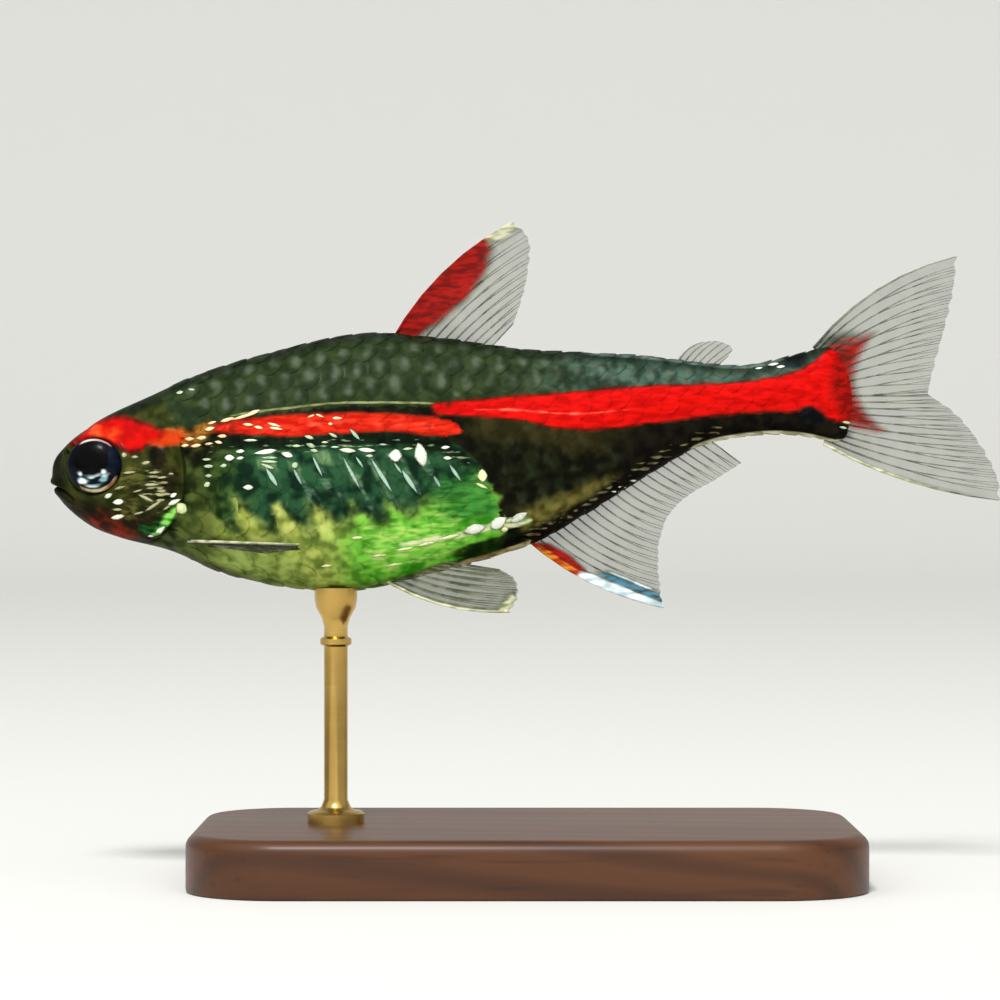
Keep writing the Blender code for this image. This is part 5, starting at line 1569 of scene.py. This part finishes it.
def make_fins():
    """Every fin, each rooted inside the body."""
    film = fin_material("clear_fin_film", "#3a4427", "#5d6547")
    bone = fin_material("bony_fin_rays", "#5a6244", "#9a9f80")

    def make_fin(kind, root, margin, sink, ending=""):
        rays, forks, bow, swing = FIN_MAKE[kind]
        surface = fin_surface(root, margin, bow, swing, sink)
        make_film(kind + ending, surface, rays, film)
        make_rays(kind + ending, surface, fin_strands(rays, forks), bone)

    up, down, back = (0.0, 0.0, ROOT_SINK), (0.0, 0.0, -ROOT_SINK), (ROOT_SINK, 0.0, 0.0)
    for kind, edge, stations, margin, sink in (
        ("dorsal_fin", back_height, DORSAL_ROOT, DORSAL_MARGIN, up),
        ("adipose_fin", back_height, ADIPOSE_ROOT, ADIPOSE_MARGIN, up),
        ("anal_fin", belly_height, ANAL_ROOT, ANAL_MARGIN, down),
    ):
        make_fin(kind, midline([(s, edge(s)) for s in stations]), midline(margin), sink)
    for kind, way, edge, middle, margin in (
        ("tail_fin_upper_lobe", 1, back_height, UPPER_LOBE_ROOT, UPPER_LOBE_MARGIN),
        ("tail_fin_lower_lobe", -1, belly_height, LOWER_LOBE_ROOT, LOWER_LOBE_MARGIN),
    ):
        root = [(TAIL_CORNER, edge(BODY_LENGTH)), middle, (SPLIT_START, way * FORK_GAP / 2)]
        fork = (FORK[0], FORK[1] + way * FORK_GAP)
        make_fin(kind, midline(root), midline([*margin, fork]), back)
    for side, ending in ((1, "_right"), (-1, "_left")):
        inner, outer = flank(*PELVIC_ROOT[0]), flank(*PELVIC_ROOT[-1])
        widths = (inner, (inner + outer) / 2, outer)
        root = [(s, side * width, h) for (s, h), width in zip(PELVIC_ROOT, widths)]
        margin = [(s, side * y, h) for s, y, h in PELVIC_MARGIN]
        make_fin("pelvic_fin", root, margin, (0.0, side * ROOT_SINK, -ROOT_SINK), ending)
        root = [(s, side * flank(*SHOULDER), h) for s, h in PECTORAL_ROOT]
        margin = [(s, side * y, h) for s, y, h in PECTORAL_MARGIN]
        make_fin("pectoral_fin", root, margin, (0.0, side * PECTORAL_SINK, 0.0), ending)


# Stand

def make_base(material):
    """The base board, with round corners, a rounded rim and a small bevel at its foot."""
    bm = bmesh.new()
    bmesh.ops.create_cube(bm, size=1.0)
    length, depth, height = BASE_SIZE
    bmesh.ops.transform(bm, matrix=Matrix.Diagonal((length, depth, height, 1.0)), verts=bm.verts)
    bmesh.ops.translate(bm, verts=bm.verts, vec=(0.0, 0.0, height / 2))
    for chosen, offset, segments in (
        (lambda low, high: high - low > height / 2, BASE_CORNER, 20),
        (lambda low, high: low > height * 0.99, BASE_EDGE, 8),
        (lambda low, high: high < height * 0.01, BASE_FOOT_EDGE, 3),
    ):
        edges = [e for e in bm.edges if chosen(*sorted(vert.co.z for vert in e.verts))]
        bmesh.ops.bevel(
            bm, geom=edges, offset=offset, segments=segments, profile=0.5, affect="EDGES", material=-1
        )
    bmesh.ops.transform(bm, matrix=Matrix.Scale(MM, 4), verts=bm.verts)
    base = mesh_from(bm, "base")
    show(base, "walnut_base", material, ("stand_base",), sharp_deg=40)


def make_rod(material):
    """The brass rod, turned from its outline: foot collar, shaft, ring, and the cup under the belly."""
    belly = FISH_TO_WORLD @ Vector((ROD_STATION, 0.0, float(belly_height(ROD_STATION))))
    foot, top = BASE_SIZE[2], belly.z / MM
    outline = [(radius, foot + up) for radius, up in ROD_FOOT]
    outline += [(radius, top + up) for radius, up in ROD_HEAD]
    bm = bmesh.new()
    verts = [bm.verts.new((radius * MM, 0.0, height * MM)) for radius, height in outline]
    edges = [bm.edges.new(pair) for pair in zip(verts, verts[1:])]
    bmesh.ops.spin(
        bm, geom=verts + edges, axis=(0, 0, 1), cent=(0, 0, 0), dvec=(0, 0, 0),
        angle=2 * math.pi, steps=ROD_SIDES, use_merge=True,
    )
    bmesh.ops.remove_doubles(bm, verts=bm.verts, dist=WELD / 10)
    bmesh.ops.recalc_face_normals(bm, faces=bm.faces)
    bmesh.ops.translate(bm, verts=bm.verts, vec=(belly.x, 0.0, 0.0))
    show(mesh_from(bm, "rod"), "brass_rod", material, ("stand_rod",), sharp_deg=35)


# Studio

def make_studio():
    """A sheet of matt paper under the stand, bent up behind it."""
    material, tree, shader = new_material("matt_paper")
    fill(tree, shader, {"Base Color": colour("#e6e5e0"), "Roughness": 0.9})
    bm = bmesh.new()
    bmesh.ops.create_grid(bm, x_segments=1, y_segments=1, size=PAPER_REACH)
    far = [edge for edge in bm.edges if all(vert.co.y > 0.0 for vert in edge.verts)]
    made = bmesh.ops.extrude_edge_only(bm, edges=far)
    lifted = [item for item in made["geom"] if isinstance(item, bmesh.types.BMVert)]
    bmesh.ops.translate(bm, verts=lifted, vec=(0.0, 0.0, PAPER_REACH))
    seam = [e for e in bm.edges if all(v.co.y > 0.0 and v.co.z == 0.0 for v in e.verts)]
    bmesh.ops.bevel(
        bm, geom=seam, offset=PAPER_BEND, segments=12, profile=0.5, affect="EDGES", material=-1
    )
    bmesh.ops.recalc_face_normals(bm, faces=bm.faces)
    paper = put_in_scene("paper", mesh_from(bm, "paper"))
    paper.data.shade_smooth()
    paper.data.materials.append(material)


def make_camera():
    data = bpy.data.cameras.new("camera")
    data.lens = CAMERA_LENS
    data.sensor_width = CAMERA_SENSOR
    data.clip_start, data.clip_end = 0.01, 10.0
    camera = put_in_scene("camera", data)
    camera.location = (CAMERA_AIM[0], -CAMERA_DISTANCE, CAMERA_AIM[1])
    camera.rotation_euler = (math.radians(90), 0.0, 0.0)
    bpy.context.scene.camera = camera


def make_light(name, kind, place, energy, spread):
    """A lamp aimed at the middle of the model, with its angle in degrees or its width in metres."""
    data = bpy.data.lights.new(name, kind)
    data.energy = energy
    if kind == "SUN":
        data.angle = math.radians(spread)
    else:
        data.size = spread
    light = put_in_scene(name, data)
    light.location = place
    towards = Vector(LAMPS_AIM) - Vector(place)
    light.rotation_euler = towards.to_track_quat("-Z", "Y").to_euler()
    light.visible_camera = False


def make_lights():
    for name, lamp in LAMPS.items():
        make_light(name, *lamp)
    world = bpy.data.worlds.new("studio")
    world.use_nodes = True
    surroundings = world.node_tree.nodes["Background"]
    fill(world.node_tree, surroundings, {"Color": colour("#e9ecee"), "Strength": 0.42})
    bpy.context.scene.world = world
    bpy.context.scene.view_settings.view_transform = "Standard"


make_camera()
make_skin(painted("moist_fish_skin", "#1c2a12", "#2f3d1f", BODY_PAINT, 0.5, 0.03))
make_scales(painted("thin_bony_scales", "#1c2a12", "#2f3d1f", BODY_PAINT, 0.5, 0.0))
make_eyes(painted("wet_eyeball", "#030509", "#080d18", EYE_PAINT, 0.3, 0.1))
make_all_flecks()
make_fins()
make_base(oiled_walnut())
make_rod(turned_brass())
make_studio()
make_lights()
bpy.context.view_layer.update()
